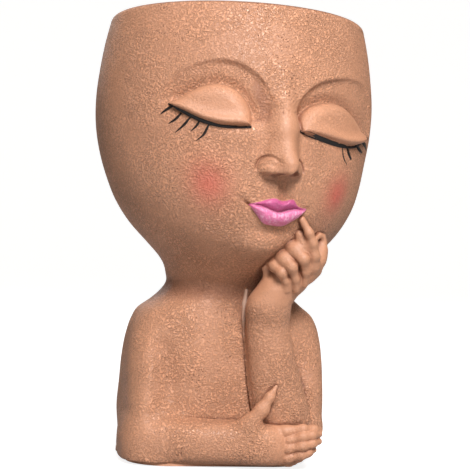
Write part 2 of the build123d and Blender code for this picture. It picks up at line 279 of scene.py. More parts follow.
def arm_form(shares):
    """Function that gives the distance to an upper arm."""
    rows = np.array(shares)
    levels = plate_top + torso_height * rows[:, 0]
    places = np.column_stack((rows[:, 1] * torso_half_width, axis_back - rows[:, 2] * chest_depth))
    middles = smooth_curve(levels, places)
    radii = smooth_curve(levels, rows[:, 3:5] * (upper_arm_width / 2, upper_arm_depth / 2))
    return lambda points: stack(points, 2, levels, middles, radii)


right_upper_arm, left_upper_arm = arm_form(right_arm_shares), arm_form(left_arm_shares)
print("arms:", len(right_arm_shares), "and", len(left_arm_shares), "levels")

# %% The folded limb, from the right elbow across the foot
folded_radius, folded_height, folded_softness = 8.6, 9.5, 5.0
elbow_seam = -24.0
limb_squareness = 2.4
folded_shares = np.array((  # across, towards the front, height, depth, height of the ellipse
    (-0.95, 0.6, 0.96, 0.3, 0.55), (-0.89, 0.7, 0.94, 0.78, 0.98), (-0.8, 0.84, 0.9, 0.96, 1.08),
    (-0.55, 1.05, 0.89, 1, 1.1), (-0.3, 1.13, 0.88, 0.99, 1.09), (-0.05, 1.2, 0.88, 0.95, 1.08),
    (0.15, 1.27, 0.88, 0.9, 1.08), (0.33, 1.28, 0.86, 0.88, 1.05), (0.46, 1.23, 0.82, 0.8, 0.98),
    (0.56, 1.14, 0.82, 0.58, 0.84), (0.68, 1.04, 0.84, 0.4, 0.6),
))
folded_levels = folded_shares[:, 0] * torso_half_width
folded_places = np.column_stack((axis_back - folded_shares[:, 1] * chest_depth,
                                 plate_top + folded_shares[:, 2] * folded_height))
folded_middles = smooth_curve(folded_levels, folded_places)
folded_radii = smooth_curve(folded_levels, folded_shares[:, 3:5] * folded_radius)


def folded_limb(points):
    """Distance to the folded forearm without its hand."""
    return stack(points, 0, folded_levels, folded_middles, folded_radii, limb_squareness)

# %% The rounded corner of the foot, under the right elbow
corner_squareness = 3.0
corner_size = (16.8, 17.2)
corner_shares = np.array((  # height, across, towards the front, share of the corner's size
    (foot_edge, -32.2, -11, 0.91), (2.6, -32.2, -11, 0.96), (4.8, -32.2, -11, 0.99),
    (10, -32.2, -10.8, 1), (15, -31.8, -10, 0.97), (20, -31.2, -8.5, 0.86), (25, -30, -7, 0.66),
))
corner_levels = corner_shares[:, 0]
corner_middles = smooth_curve(corner_levels, corner_shares[:, 1:3])
corner_radii = smooth_curve(corner_levels, corner_shares[:, 3:4] * corner_size)


def elbow_form(points):
    """The elbow and the first part of the folded limb, which are cast in one with the bust."""
    corner = stack(points, 2, corner_levels, corner_middles, corner_radii, corner_squareness)
    limb = np.maximum(folded_limb(points), points[:, 0] - elbow_seam)
    return join(limb, corner, folded_softness)

# %% Soft groove between the right upper arm and the chest
def arm_and_bust(points):
    return join(bust(points), right_upper_arm(points), arm_softness)


crease_depth, crease_width = 4.4, 4.4
crease_top, crease_fade, chest_top = 60, 46, 62
crease_picture = [(157, 417), (161, 402), (167, 384), (168, 364), (163, 345)]
crease_places = np.array([seen_on(arm_and_bust, *pixel) for pixel in crease_picture])
print("crease from", crease_places[0].round(1), "to", crease_places[-1].round(1))

# %% [markdown]
# ## The face
# The sleeping face is a relief on the head. Points are unrolled to degrees round from the middle of
# the face and height, so a feature is a curve in a flat drawing. Signed distance to a drawn outline
# then gives the height of the relief: a quarter-round ramp reads as a crisp sculpted edge.

# %% Unrolling the head and drawing outlines on it
def unroll(points):
    """Degrees from the middle of the face towards the figure's left, and distance from the axis."""
    rows = outline(points[:, 2])
    offset = points[:, :2] - rows[:, 2:4]
    azimuth = np.degrees(np.arctan2(offset[:, 0], -offset[:, 1]) - face_turn)
    return azimuth, np.hypot(offset[:, 0], offset[:, 1]), rows[:, 0]


def in_box(azimuth, height, left, right, low, high):
    """Which points lie in a rectangle of the unrolled head."""
    return (azimuth > left) & (azimuth < right) & (height > low) & (height < high)


def face_point(azimuth, height):
    """Point on the head's surface, the inverse of unroll."""
    rows = outline(height)
    angle = face_turn + np.radians(azimuth)
    across, ahead = rows[:, 0] * np.sin(angle), rows[:, 0] * np.cos(angle)
    return np.column_stack((rows[:, 2] + across, rows[:, 3] - ahead, height))


def drawn(points, count=6):
    """Smooth line through drawn points, with more points between them."""
    points = np.asarray(points, float)
    steps = np.concatenate(([0], np.cumsum(np.linalg.norm(np.diff(points, axis=0), axis=1))))
    return smooth_curve(steps, points)(np.linspace(0, steps[-1], count * (len(points) - 1) + 1))


def distance_to_line(spots, line):
    """Distance from each spot to the nearest place on a line, and how far along that place is."""
    best = np.full(len(spots), np.inf)
    share = np.zeros(len(spots))
    for index, (start, end) in enumerate(zip(line, line[1:])):
        along = end - start
        step = np.clip((spots - start) @ along / (along @ along + 1e-12), 0, 1)
        gap = np.linalg.norm(spots - start - step[:, None] * along, axis=1)
        share = np.where(gap < best, (index + step) / (len(line) - 1), share)
        best = np.minimum(best, gap)
    return best, share


def depth_inside(spots, loop):
    """Distance to a closed outline, positive inside it."""
    closed = np.vstack((loop, loop[:1]))
    gap, _ = distance_to_line(spots, closed)
    inside = np.zeros(len(spots), bool)
    for start, end in zip(closed, closed[1:]):
        crosses = (start[1] > spots[:, 1]) != (end[1] > spots[:, 1])
        rise = end[1] - start[1]
        across = start[0] + (spots[:, 1] - start[1]) * (end[0] - start[0]) / (rise if rise else 1e-12)
        inside ^= crosses & (spots[:, 0] < across)
    return np.where(inside, gap, -gap)


def quarter_round(depth, width):
    """0 at an edge, 1 from width inwards, and round between, like a rolled edge."""
    share = np.clip(depth / width, 0, 1)
    return np.sqrt(1 - (1 - share) ** 2)

# %% Eyes, drawn in degrees and millimetres of height
degree_length, mouth_degree_length = 1.08, 0.9


def on_paper(points, length=degree_length):
    """Degrees and height as millimetres on the flat drawing; length is that of one degree."""
    return np.asarray(points, float) * (length, 1)


right_eye = {
    "lash_line": on_paper([(-46.3, 155.2), (-39.5, 152.1), (-32.3, 148.7), (-25.3, 147.1), (-14.2, 147.3)]),
    "crease": on_paper([(-46.3, 155.2), (-43.0, 158.2), (-39.0, 160.9), (-33.7, 163.4), (-27.0, 164.4),
                        (-21.3, 162.7), (-16.6, 158.1), (-13.9, 152.7), (-14.2, 147.3)]),
    "socket": on_paper([(-52, 158), (-46, 165.5), (-40, 170.5), (-33, 173.3), (-24, 174), (-14.7, 170.4),
                        (-8.0, 163.0), (-5.0, 156.5), (-5.2, 149), (-9, 143.5), (-16, 142), (-27, 142.5),
                        (-37, 146), (-48, 151.5)]),
    "brow_middle": on_paper([(-15, 170)])[0],
}
left_eye = {
    "lash_line": on_paper([(6.3, 146.2), (17.6, 144.6), (30.9, 143.4), (44.0, 145.6), (50.0, 148.4)]),
    "crease": on_paper([(6.3, 146.2), (6.0, 151.2), (10.4, 156.8), (19.0, 160.2), (27.9, 160.3),
                        (36.4, 157.1), (43.9, 152.6), (50.0, 148.4)]),
    "socket": on_paper([(4.2, 149), (3.4, 154.7), (6.2, 161.0), (12.6, 167.0), (23.9, 170.9), (36.8, 172),
                        (47, 170), (55, 162), (57, 152), (50, 144), (40, 139.5), (28, 138.5), (16, 139),
                        (7, 142)]),
    "brow_middle": on_paper([(13, 167)])[0],
}
lid_height, lid_roll = 3.4, 5.6
socket_depth, lid_groove, groove_width, lid_margin = 2.4, 2.5, 3.4, 2.0
brow_roll, outer_roll = 3.0, 13.0
for eye in (right_eye, left_eye):
    eye["lash_line"] = drawn(eye["lash_line"])
    eye["crease"] = drawn(eye["crease"], 4)
    eye["lid_loop"] = np.vstack((eye["lash_line"], eye["crease"][::-1][1:-1]))
    eye["socket"] = drawn(np.vstack((eye["socket"], eye["socket"][:1])), 3)[:-1]


def above_lashes(spots, eye):
    line = eye["lash_line"]
    return spots[:, 1] - np.interp(spots[:, 0], line[:, 0], line[:, 1])


def eye_relief(spots, eye):
    """Socket, groove round the lid and the domed lid of one closed eye."""
    lid = depth_inside(spots, eye["lid_loop"])
    socket = depth_inside(spots, eye["socket"])
    from_brow = np.linalg.norm(spots - eye["brow_middle"], axis=1)
    roll = brow_roll + (outer_roll - brow_roll) * ease(8, 34, from_brow)
    to_lash, _ = distance_to_line(spots, eye["lash_line"])
    to_crease, _ = distance_to_line(spots, eye["crease"])
    to_margin = lid_margin * to_lash
    both = to_margin * to_crease / np.hypot(to_margin, to_crease)
    above = ease(0.5, 6.0, to_lash)
    groove = lid_groove * (0.5 + 0.5 * above)
    over_line = above_lashes(spots, eye)
    relief = -socket_depth * quarter_round(socket, roll) * ease(-7, 8, over_line)
    relief = relief - groove * ease(-2, 4, over_line) * np.where(lid < 0, bell(lid, groove_width), 1)
    return relief + (lid_height + lid_groove) * quarter_round(np.where(lid > 0, both, 0), lid_roll)

# %% Mouth, drawn the same way
def mouth_curve(points, count=3):
    return drawn(on_paper(points, mouth_degree_length), count)


upper_edge = mouth_curve([(-14.6, 114.9), (-9.0, 116.2), (-5.6, 117.3), (-3.4, 117.7), (-0.8, 117.3),
                          (1.5, 116.9), (4.0, 117.5), (6.2, 117.7), (7.4, 116.8), (8.6, 115.5),
                          (11.6, 114.6), (15.2, 114.5)])
mouth_line = mouth_curve([(-14.6, 114.9), (-8.4, 114.3), (-3.9, 113.0), (-0.4, 112.2), (4.1, 113.3),
                          (8.3, 114.0), (11.6, 113.8), (15.2, 114.5)])
lower_edge = mouth_curve([(-14.6, 114.9), (-10.4, 110.4), (-6.8, 107.3), (-1.8, 106.5), (4.9, 106.7),
                          (8.3, 108.6), (11.3, 110.6), (13.4, 112.9), (15.2, 114.5)], 4)
smile_line = mouth_curve([(-18.2, 117.4), (-16.4, 116.0), (-14.4, 114.8)])
philtrum = mouth_curve([(-0.4, 127.5), (0.2, 122.0), (0.8, 117.6)])
upper_loop = np.vstack((upper_edge, mouth_line[::-1][1:-1]))
lower_loop = np.vstack((mouth_line, lower_edge[::-1][1:-1]))
lips_loop = np.vstack((upper_edge, lower_edge[::-1][1:-1]))
upper_lip_height, lower_lip_height = 2.0, 2.9
upper_lip_roll, lower_lip_roll = 2.3, 3.1
mouth_line_depth, smile_depth, line_width = 0.5, 1.3, 0.8
philtrum_depth, philtrum_width, ridge_height, ridge_place = 0.7, 1.3, 0.6, 2.6


def mouth_relief(spots):
    """Two rolled lips, the line between them, a smile's crease and the furrow under the nose."""
    upper, lower = depth_inside(spots, upper_loop), depth_inside(spots, lower_loop)
    relief = upper_lip_height * quarter_round(upper, upper_lip_roll)
    relief = relief + lower_lip_height * quarter_round(lower, lower_lip_roll)
    to_line, _ = distance_to_line(spots, mouth_line)
    to_smile, along = distance_to_line(spots, smile_line)
    to_philtrum, down = distance_to_line(spots, philtrum)
    relief = relief - mouth_line_depth * bell(to_line, line_width)
    relief = relief - smile_depth * (0.35 + 0.65 * along) * bell(to_smile, line_width)
    relief = relief - philtrum_depth * bell(to_philtrum, philtrum_width)
    return relief + ridge_height * bell(to_philtrum - ridge_place, 1.0) * ease(0, 0.15, down)

# %% Nose, cheeks and chin
def soft_bump(azimuth, height, middle, size, amount):
    """A low round swelling; middle and size are in degrees and millimetres of height."""
    across = (azimuth - middle[0]) / size[0]
    along = (height - middle[1]) / size[1]
    return amount * np.exp(-across ** 2 - along ** 2)


bridge_places = [(-1.4, -4.4, 170), (-1.3, -1.2, 157), (-1.1, 2.2, 146), (-0.3, 5.4, 135.2)]
flank_places = [(-0.9, -5.2, 160), (-0.9, -3.0, 147), (-1.2, -0.8, 134.0)]
bridge_radii, flank_radii = [4.6, 3.0, 2.3, 2.8], [5.5, 6.2, 7.8]
tip_middle, tip_radii = (0.1, 6.6, 131.4), (3.6, 3.8, 3.4)
wing_middles, wing_radii = {-1: (-6.3, 0.6, 130.4), 1: (3.5, 0.8, 130.4)}, (4.7, 3.3, 4.0)
wing_edge_radii, nostril_radii = (1.3, 1.6, 2.0), (1.5, 1.4)
nose_foot, foot_slant = 127.6, 0.06


def nose(points):
    """Bridge, tip and wings in unrolled space: across, height above the head, and height."""
    form = join(chain(points, bridge_places, bridge_radii, 4), chain(points, flank_places, flank_radii, 5), 3)
    form = join(form, lump(points, tip_middle, tip_radii), 3.0)
    for side, wing in wing_middles.items():
        form = join(form, lump(points, wing, wing_radii), 2.6)
        edge = [(wing[0] + 3.3 * side, 1.2, 128.9), (wing[0] + 0.8 * side, 3.5, 128.7),
                (0.3 * side, 7.6, 128.9)]
        form = join(form, chain(points, edge, wing_edge_radii, 1.5), 1.8)
    form = cut(form, points[:, 2] - (nose_foot - foot_slant * points[:, 1]), 1.0)
    for places in nostrils:
        form = cut(form, chain(points, places, nostril_radii, 1), 0.5)
    return form


nostrils = ([(-4.3, 2.0, 127.6), (-2.8, 5.0, 128.0)], [(3.4, 3.4, 127.4), (1.6, 8.2, 127.6)])
right_wing_crease = drawn(on_paper([(-11.6, 128.0), (-11.4, 131.2), (-9.2, 134.3), (-6.4, 134.6),
                                    (-4.0, 132.6), (-2.2, 130.9)]))
left_wing_crease = drawn(on_paper([(9.0, 128.0), (8.8, 131.4), (6.6, 134.2), (4.6, 133.6), (3.4, 131.6)]))
crease_cut, crease_half_width = 0.75, 0.6

# %% [markdown]
# ## The relief as a height map
# Eyes, mouth, cheeks and chin are heights over the flat drawing, so they are worked out once, on a
# fine grid, and looked up from then on. The nose overhangs, so it stays a form of its own.

# %% Draw the height map
map_step = 0.25
right_eye_box, left_eye_box = (-90, 0, 138, 200), (0, 90, 135, 200)  # degrees from, to; height from, to
mouth_box, nose_box, face_box = (-24, 24, 100, 131), (-16, 16, 120, 176), (-68, 68, 85, 186)
face_bumps = (  # middle, size, height
    ((-6, 95.8), (13, 5.8), 5.6), ((1, 104.5), (10, 2.8), -1.5),
    ((-29, 130), (15, 12), 0.9), ((29, 129), (15, 12), 0.9),
)
map_azimuths = np.arange(-70, 70 + map_step, map_step)
map_heights = np.arange(84, 190 + map_step, map_step)


def draw_relief():
    """Height over the head at every point of the map's grid."""
    azimuth, height = [grid.ravel() for grid in np.meshgrid(map_azimuths, map_heights)]
    relief = np.zeros(len(azimuth))
    spots = np.column_stack((azimuth * degree_length, height))
    for eye, box in ((right_eye, right_eye_box), (left_eye, left_eye_box)):
        near = in_box(azimuth, height, *box)
        relief[near] += eye_relief(spots[near], eye)
    near = in_box(azimuth, height, *mouth_box)
    relief[near] += mouth_relief(spots[near] * (mouth_degree_length / degree_length, 1))
    for middle, size, amount in face_bumps:
        relief += soft_bump(azimuth, height, middle, size, amount)
    return relief.reshape(len(map_heights), len(map_azimuths))


relief_map = draw_relief()
print("relief map", relief_map.shape, "up to", round(relief_map.max(), 1), "mm high")


def relief_at(azimuth, height):
    """Height of the relief between the grid's points."""
    column = np.clip((azimuth - map_azimuths[0]) / map_step, 0, len(map_azimuths) - 1.001)
    row = np.clip((height - map_heights[0]) / map_step, 0, len(map_heights) - 1.001)
    left, low = column.astype(int), row.astype(int)
    across, up = column - left, row - low
    lower = relief_map[low, left] * (1 - across) + relief_map[low, left + 1] * across
    upper = relief_map[low + 1, left] * (1 - across) + relief_map[low + 1, left + 1] * across
    return lower * (1 - up) + upper * up


def torso(points):
    """Head, neck, torso and upper arms, without elbow or face."""
    form = bust(points)
    form = join(form, right_upper_arm(points), arm_softness)
    form = join(form, left_upper_arm(points), arm_softness)
    at_chest = (points[:, 2] < chest_top) & (points[:, 0] < 0) & (points[:, 1] < 0)
    to_crease = chain(points[at_chest], crease_places, [0] * len(crease_places), 0.01)
    fading = ease(crease_top, crease_fade, points[at_chest][:, 2])
    form[at_chest] += crease_depth * fading * bell(to_crease, crease_width)
    return form


elbow_top, elbow_back = 40, 20
nose_softness = 2.5


def casting(points):
    """The whole outside of the casting, face included."""
    form = torso(points)
    at_elbow = (points[:, 2] < elbow_top) & (points[:, 0] < 0) & (points[:, 1] < elbow_back)
    form[at_elbow] = join(form[at_elbow], elbow_form(points[at_elbow]), folded_softness)
    azimuth, reach, radius = unroll(points)
    height = points[:, 2]
    face = in_box(azimuth, height, *face_box)
    if face.any():
        azimuth, reach, radius, height = azimuth[face], reach[face], radius[face], height[face]
        skin = (reach - radius - relief_at(azimuth, height)) * lean(height)
        near = in_box(azimuth, height, *nose_box)
        lifted = np.column_stack((azimuth * degree_length, reach - radius, height))[near]
        skin[near] = join(skin[near], nose(lifted), nose_softness)
        for line in (right_wing_crease, left_wing_crease):
            to_line, along = distance_to_line(lifted[:, [0, 2]], line)
            fading = ease(0, 0.2, along) * ease(1, 0.7, along)
            skin[near] += crease_cut * fading * bell(to_line, crease_half_width)
        form[face] = skin
    return form

# %% [markdown]
# ## Raw clay for the casting
# The pot is close to a turned shape, so its clay is one closed outline spun round the axis: up the
# outside, over the rounded rim, down into the bowl, out through the drain's bore and down the
# hollow chest to the foot. Lathe work gives clean rings of faces, and the finest rings go where
# the face is, with a few more cuts there. A Remesh would be simpler, but it blurs the thin rim.

# %% Spin the outline, fine at the front and coarse behind
head_wall, torso_wall = 6.0, 5.0
bowl_floor, hollow_top = 88.0, 80.0
bore_radius, rim_round = 8.1, 2.0
clay_radius = 40.0
front_span, front_steps, back_steps = radians(156), 116, 50

inside = clay_radius - head_wall
rim_arc = ((0.15, 1.23), (0.59, 0.59), (1.23, 0.15))  # in from the wall, down from the rim
corners = [  # distance from the axis, height, cuts made in the edge that starts there
    (clay_radius - torso_wall, plate_top, 2), (clay_radius - 2.2, foot_edge, 1),
    (clay_radius - 0.7, foot_edge + 0.6, 1), (clay_radius, foot_edge + 2.0, 58),
    (clay_radius, neck_height, 88), (clay_radius, rim_height - rim_round, 0),
    *((clay_radius - inwards, rim_height - down, 0) for inwards, down in rim_arc),
    (clay_radius - rim_round, rim_height, 1), (inside + rim_round, rim_height, 0),
    *((inside + inwards, rim_height - down, 0) for inwards, down in rim_arc[::-1]),
    (inside, rim_height - rim_round, 44), (inside, bowl_floor + 1.5, 0),
    (inside - 1.5, bowl_floor, 6), (bore_radius, bowl_floor, 3), (bore_radius, hollow_top, 8),
    (clay_radius - torso_wall, hollow_top, 40),
]
clay = bmesh.new()
outer_flag = clay.verts.layers.int.new("outer")
ring = [clay.verts.new((0, -radius, height)) for radius, height, _ in corners]
edges = [clay.edges.new((start, end)) for start, end in zip(ring, ring[1:] + ring[:1])]
for edge, (_, _, cuts) in zip(edges, corners):
    if cuts:
        bmesh.ops.subdivide_edges(clay, edges=[edge], cuts=cuts)
for vertex in clay.verts:
    lowest = foot_edge + 0.5 < vertex.co.z < foot_edge + 2 and -vertex.co.y > clay_radius - 0.8
    vertex[outer_flag] = int(lowest or -vertex.co.y > clay_radius - 0.01)
print("outline:", len(clay.verts), "points")


def spin(clay, geometry, angle, steps, closed=False):
    """Sweeps an outline round the Z axis."""
    return bmesh.ops.spin(clay, geom=geometry, cent=(0, 0, 0), axis=(0, 0, 1), dvec=(0, 0, 0), angle=angle,
                          steps=steps, use_merge=closed, use_duplicate=False)["geom_last"]


start_turn = Matrix.Rotation(face_turn - front_span / 2, 3, "Z")
bmesh.ops.rotate(clay, verts=clay.verts, cent=(0, 0, 0), matrix=start_turn)
front_end = spin(clay, clay.verts[:] + clay.edges[:], front_span, front_steps)
spin(clay, front_end, 2 * pi - front_span, back_steps)
bmesh.ops.remove_doubles(clay, verts=clay.verts, dist=0.0005)
print("clay:", len(clay.faces), "faces, open edges", sum(not edge.is_manifold for edge in clay.edges))

# %% [markdown]
# ## Settling the clay
# The turned clay has to follow outlines that are neither round nor centred, and then carry a face.
# First every ring is stretched to its level's outline. Then each outer point starts a little way out
# and is pressed straight in until it meets the form. That never tangles, even over the nose.

# %% Stretch the rings to the outlines
def places_of(verts):
    return np.array([vertex.co for vertex in verts])


def move_to(verts, places):
    for vertex, place in zip(verts, places):
        vertex.co = place


clay.verts.ensure_lookup_table()
points = places_of(clay.verts)
outer = np.array([vertex[outer_flag] for vertex in clay.verts], bool)
turned = np.arctan2(points[:, 1], points[:, 0])
reach = np.hypot(points[:, 0], points[:, 1])
level_rows = outline(points[:, 2])
edge = outline_reach(turned, level_rows)
follow = np.clip((reach - bore_radius) / (inside - 3 - bore_radius), 0, 1)
fitted = reach + follow * (edge - clay_radius)
middle = np.column_stack((level_rows[:, 2] * follow, axis_back + (level_rows[:, 3] - axis_back) * follow))
points[:, 0] = middle[:, 0] + fitted * np.cos(turned)
points[:, 1] = middle[:, 1] + fitted * np.sin(turned)
print("stretched", int(outer.sum()), "outer points of", len(points))

# %% Press outer points in until they meet a form
def press_in(points, form, start=15.0, rounds=34):
    """Each point moves level, towards its outline's middle, from start mm out until it is on the form."""
    rows = outline(points[:, 2])
    inwards = rows[:, 2:4] - points[:, :2]
    inwards = inwards / np.linalg.norm(inwards, axis=1)[:, None]
    found = points.copy()
    found[:, :2] -= inwards * start
    active = np.arange(len(points))
    for _ in range(rounds):
        gap = form(found[active])
        found[active, :2] += inwards[active] * gap[:, None] * 0.92
        active = active[np.abs(gap) > 0.01]
        if not len(active):
            break
    return found


def settle(points, form, rounds=2, limit=0.6):
    """Moves points the shortest way onto the form, a little at a time."""
    nudge = 0.05
    for _ in range(rounds):
        gap = form(points)
        slope = np.empty_like(points)
        for axis in range(3):
            shifted = points.copy()
            shifted[:, axis] += nudge
            slope[:, axis] = (form(shifted) - gap) / nudge
        steepness = np.maximum((slope ** 2).sum(axis=1), 0.25)
        points = points - (np.clip(gap, -limit, limit) / steepness)[:, None] * slope
    return points


points[outer] = press_in(points[outer], casting)
move_to(clay.verts, points)
print("pressed; worst gap", round(float(np.abs(casting(points[outer])).max()), 2), "mm")

# %% More clay where the face needs it
def refine(clay, boxes):
    """Cuts every outer face whose middle is in one of the boxes into four, and returns how many."""
    clay.faces.ensure_lookup_table()
    middles = np.array([face.calc_center_median() for face in clay.faces])
    azimuth, _, _ = unroll(middles)
    wanted = np.any([in_box(azimuth, middles[:, 2], *box) for box in boxes], axis=0)
    faces_outer = np.array([all(vertex[outer_flag] for vertex in face.verts) for face in clay.faces])
    chosen = np.flatnonzero(wanted & faces_outer)
    clay.edges.index_update()
    cut_edges = {edge for index in chosen for edge in clay.faces[index].edges}
    cut_edges = sorted(cut_edges, key=lambda edge: edge.index)
    bmesh.ops.subdivide_edges(clay, edges=cut_edges, cuts=1, use_grid_fill=True)
    return len(chosen)


whole_face = [(-56, 60, 101, 178)]
lids_nose_lips = [(-49, -10, 144, 167), (3, 53, 141, 163), (-13, 11, 123, 139), (-19, 18, 105, 119)]
for boxes in (whole_face, lids_nose_lips):
    print("refined", refine(clay, boxes), "faces in", len(boxes), "places")
    outer_verts = [vertex for vertex in clay.verts if vertex[outer_flag]]
    move_to(outer_verts, press_in(places_of(outer_verts), casting))

# %% Relax the stretched faces, then settle them again
all_axes = {"use_axis_x": True, "use_axis_y": True, "use_axis_z": True}


def settle_clay(clay, verts, form, rounds, smoothing):
    """Evens out the vertices, then puts them back on the form, a few times over."""
    for _ in range(rounds):
        bmesh.ops.smooth_vert(clay, verts=verts, factor=smoothing, **all_axes)
        move_to(verts, settle(places_of(verts), form))


points = places_of(outer_verts)
azimuth, _, _ = unroll(points)
relaxed_box = (-58, 58, 96, 178)
near_face = in_box(azimuth, points[:, 2], *relaxed_box)
face_verts = [vertex for vertex, near in zip(outer_verts, near_face) if near]
settle_clay(clay, face_verts, casting, rounds=4, smoothing=0.5)
print("relaxed", len(face_verts), "face points")

# %% Make the piece
def make_piece(name, clay, body="pot"):
    """A smooth-shaded object at the origin, from clay in millimetres."""
    bmesh.ops.scale(clay, verts=clay.verts, vec=(mm, mm, mm))
    bmesh.ops.recalc_face_normals(clay, faces=clay.faces)
    if clay.calc_volume(signed=True) < 0:
        bmesh.ops.reverse_faces(clay, faces=clay.faces)
    print(name, round(clay.calc_volume(signed=True) / mm ** 3 / 1000, 1), "millilitres of resin")
    mesh = bpy.data.meshes.new(name)
    clay.to_mesh(mesh)
    clay.free()
    mesh.shade_smooth()
    piece = add_object(name, mesh)
    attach(piece, body)
    mesh.calc_loop_triangles()
    print(name, len(mesh.loop_triangles), "triangles")
    return piece


bust_piece = make_piece("head_and_bust", clay)
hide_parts("planter_body")

# %% [markdown]
# ## The forearms and hands
# The raised forearm stands on its elbow in front of the chest and carries the hand under the chin;
# the other lies folded across the foot. Both are cast apart and bonded on, so each is its own piece.
# Their clay is balls strung along the bones, skinned by a voxel Remesh and settled onto the form.

# %% Raised forearm, from the elbow up to the fingertips
forearm_radius, wrist_radius = 13.2, 9.6
forearm_shares = np.array((  # height, across, ahead, growth from wrist to forearm, flatness
    (-0.07, -0.02, -0.1, -0.4, 0.8), (0, 0, 0, 0.67, 0.79), (0.116, 0.11, 0.18, 1, 0.76),
    (0.26, 0.31, 0.35, 1, 0.76), (0.464, 0.56, 0.5, 0.67, 0.79), (0.68, 0.78, 0.62, 0.28, 0.85),
    (0.84, 0.92, 0.74, 0.05, 0.87), (1, 1, 1, -0.05, 0.88), (1.07, 1.05, 1.06, -0.6, 0.9),
))
elbow = np.array((0.57 * torso_half_width, axis_back - 0.89 * chest_depth, plate_top + 5.5))
palm_picture = ((268, 303, 31), (277, 289, 32.8), (290, 275.5, 34.6), (301, 263, 35.8))
palm_places, palm_radii = [seen(*pixel) for pixel in palm_picture], [7.6, 7.3, 7.0, 6.0]
wrist = palm_places[0]
raised_bones = {  # places through the picture: column, row, depth; then radii
    "heel": ([(304, 271, 35), (296, 282, 34), (287, 292.5, 32.8)], (5.0, 4.6, 4.4)),
    "index": ([(309, 278, 36), (313.4, 267, 39.5), (314.6, 256, 43), (312.8, 243, 45.5),
               (309.3, 233, 47.3), (302, 219.5, 48.2)], (2.2, 2.5, 2.2, 2.0, 1.7, 1.5)),
    "index side": ([(308, 262, 38.5), (304, 247, 41.5), (300, 234, 43.5)], (4.8, 4.2, 2.6)),
    "middle": ([(304.5, 284, 38.2), (305.4, 272, 41.4), (303.2, 259, 45.2), (296, 250.5, 43.2),
                (288.5, 243.3, 40.8)], (1.6, 1.8, 2.5, 3.4, 3.2)),
    "ring": ([(296.2, 290, 39.2), (295.4, 279, 41.8), (291.8, 266.8, 45.0), (285, 259.3, 42.4),
              (278.6, 251.8, 39.8)], (1.5, 1.7, 2.4, 3.3, 3.1)),
    "little": ([(286.4, 290, 39.6), (285.8, 281, 41.4), (281.8, 272.6, 43.4), (275.8, 265.4, 40.2),
                (271, 258.6, 37.4)], (1.4, 1.6, 2.2, 2.9, 2.8)),
    "curled tip": ([(270, 260.5, 37.2), (266.4, 267.5, 35.5), (267.2, 274.5, 34.5)], (2.0, 1.7, 1.7)),
    "thumb": ([(315.5, 239, 38.5), (319.2, 235.2, 36), (322.4, 236.8, 34.5), (323.4, 242, 33.5),
               (322.4, 250, 34), (319, 260, 36)], (1.3, 1.1, 1.1, 1.3, 1.9, 3.0)),
    "thumb web": ([(318.5, 243, 31.5), (316, 256, 33.5), (311, 268, 34.5)], (3.0, 4.4, 5.0)),
}


def place_bones(bones):
    """The same bones with their pixels turned into points."""
    return {name: ([seen(*pixel) for pixel in pixels], radii) for name, (pixels, radii) in bones.items()}


raised_bones = place_bones(raised_bones)
forearm_levels = elbow[2] + forearm_shares[:, 0] * (wrist[2] - elbow[2])
forearm_middles = smooth_curve(forearm_levels, elbow[:2] + forearm_shares[:, 1:3] * (wrist[:2] - elbow[:2]))
widths = wrist_radius + forearm_shares[:, 3] * (forearm_radius - wrist_radius)
forearm_radii = smooth_curve(forearm_levels, np.column_stack((widths, widths * forearm_shares[:, 4])))
wrist_corner = seen(262, 286, 34)
wrist_slant = np.array(rightwards * -0.5 + Vector((0, 0, 0.866)))
curled_fingers = ("middle", "ring", "little")


def raised_form(points):
    """Forearm and hand, without bonding."""
    form = stack(points, 2, forearm_levels, forearm_middles, forearm_radii)
    form = cut(form, (wrist_corner - points) @ wrist_slant, 8.0)
    form = join(form, chain(points, palm_places, palm_radii, 3), 5)
    for name, (places, radii) in raised_bones.items():
        form = join(form, chain(points, places, radii, 1.6), 1.0 if name in curled_fingers else 2.0)
    return form

# %% Bonding: a fillet onto the chest, and a bead of glue beside it, pale partly with a painted glint
bond_depth, bond_gap, bond_edge = 0.7, 0.25, 0.3
bead_picture = [(246.5, 290), (244.6, 303), (243.9, 318), (245.0, 335), (247.3, 355), (249.8, 375),
                (252.6, 395)]
bead_places = [seen_on(casting, *pixel) for pixel in bead_picture]
bead_radii = [0.6, 0.9, 0.75, 0.6, 0.5, 0.45, 0.4]


def raised_forearm_form(points):
    """The forearm with a fillet of bonding onto the chest, along the side towards the middle."""
    body = casting(points)
    inner_side = ease(4.0, -6.0, points[:, 0] - forearm_middles(points[:, 2])[:, 0])
    softness = 0.6 + 3.5 * inner_side * ease(88, 70, points[:, 2])
    filleted = join(raised_form(points), body + bond_gap, softness)
    filleted = join(filleted, chain(points, bead_places, bead_radii, 1), 0.8)
    return np.maximum(cut(filleted, body + bond_depth, bond_edge), plate_top + 0.1 - points[:, 2])

# %% Balls strung along the bones, and their voxel skin
def string_balls(clay, places, radii):
    """Overlapping balls along a line of places; radii may be single or one for each axis."""
    for start, end, first, last in zip(places, places[1:], radii, radii[1:]):
        start, end = np.asarray(start, float), np.asarray(end, float)
        first, last = np.ones(3) * first, np.ones(3) * last
        count = max(1, int(np.linalg.norm(end - start) / (0.8 * min(first.min(), last.min()))))
        for step in np.linspace(0, 1, count + 1):
            size = first + step * (last - first)
            ball = Matrix.Translation(start + step * (end - start)) @ Matrix.Diagonal((*size, 1))
            bmesh.ops.create_uvsphere(clay, u_segments=10, v_segments=7, radius=1, matrix=ball)


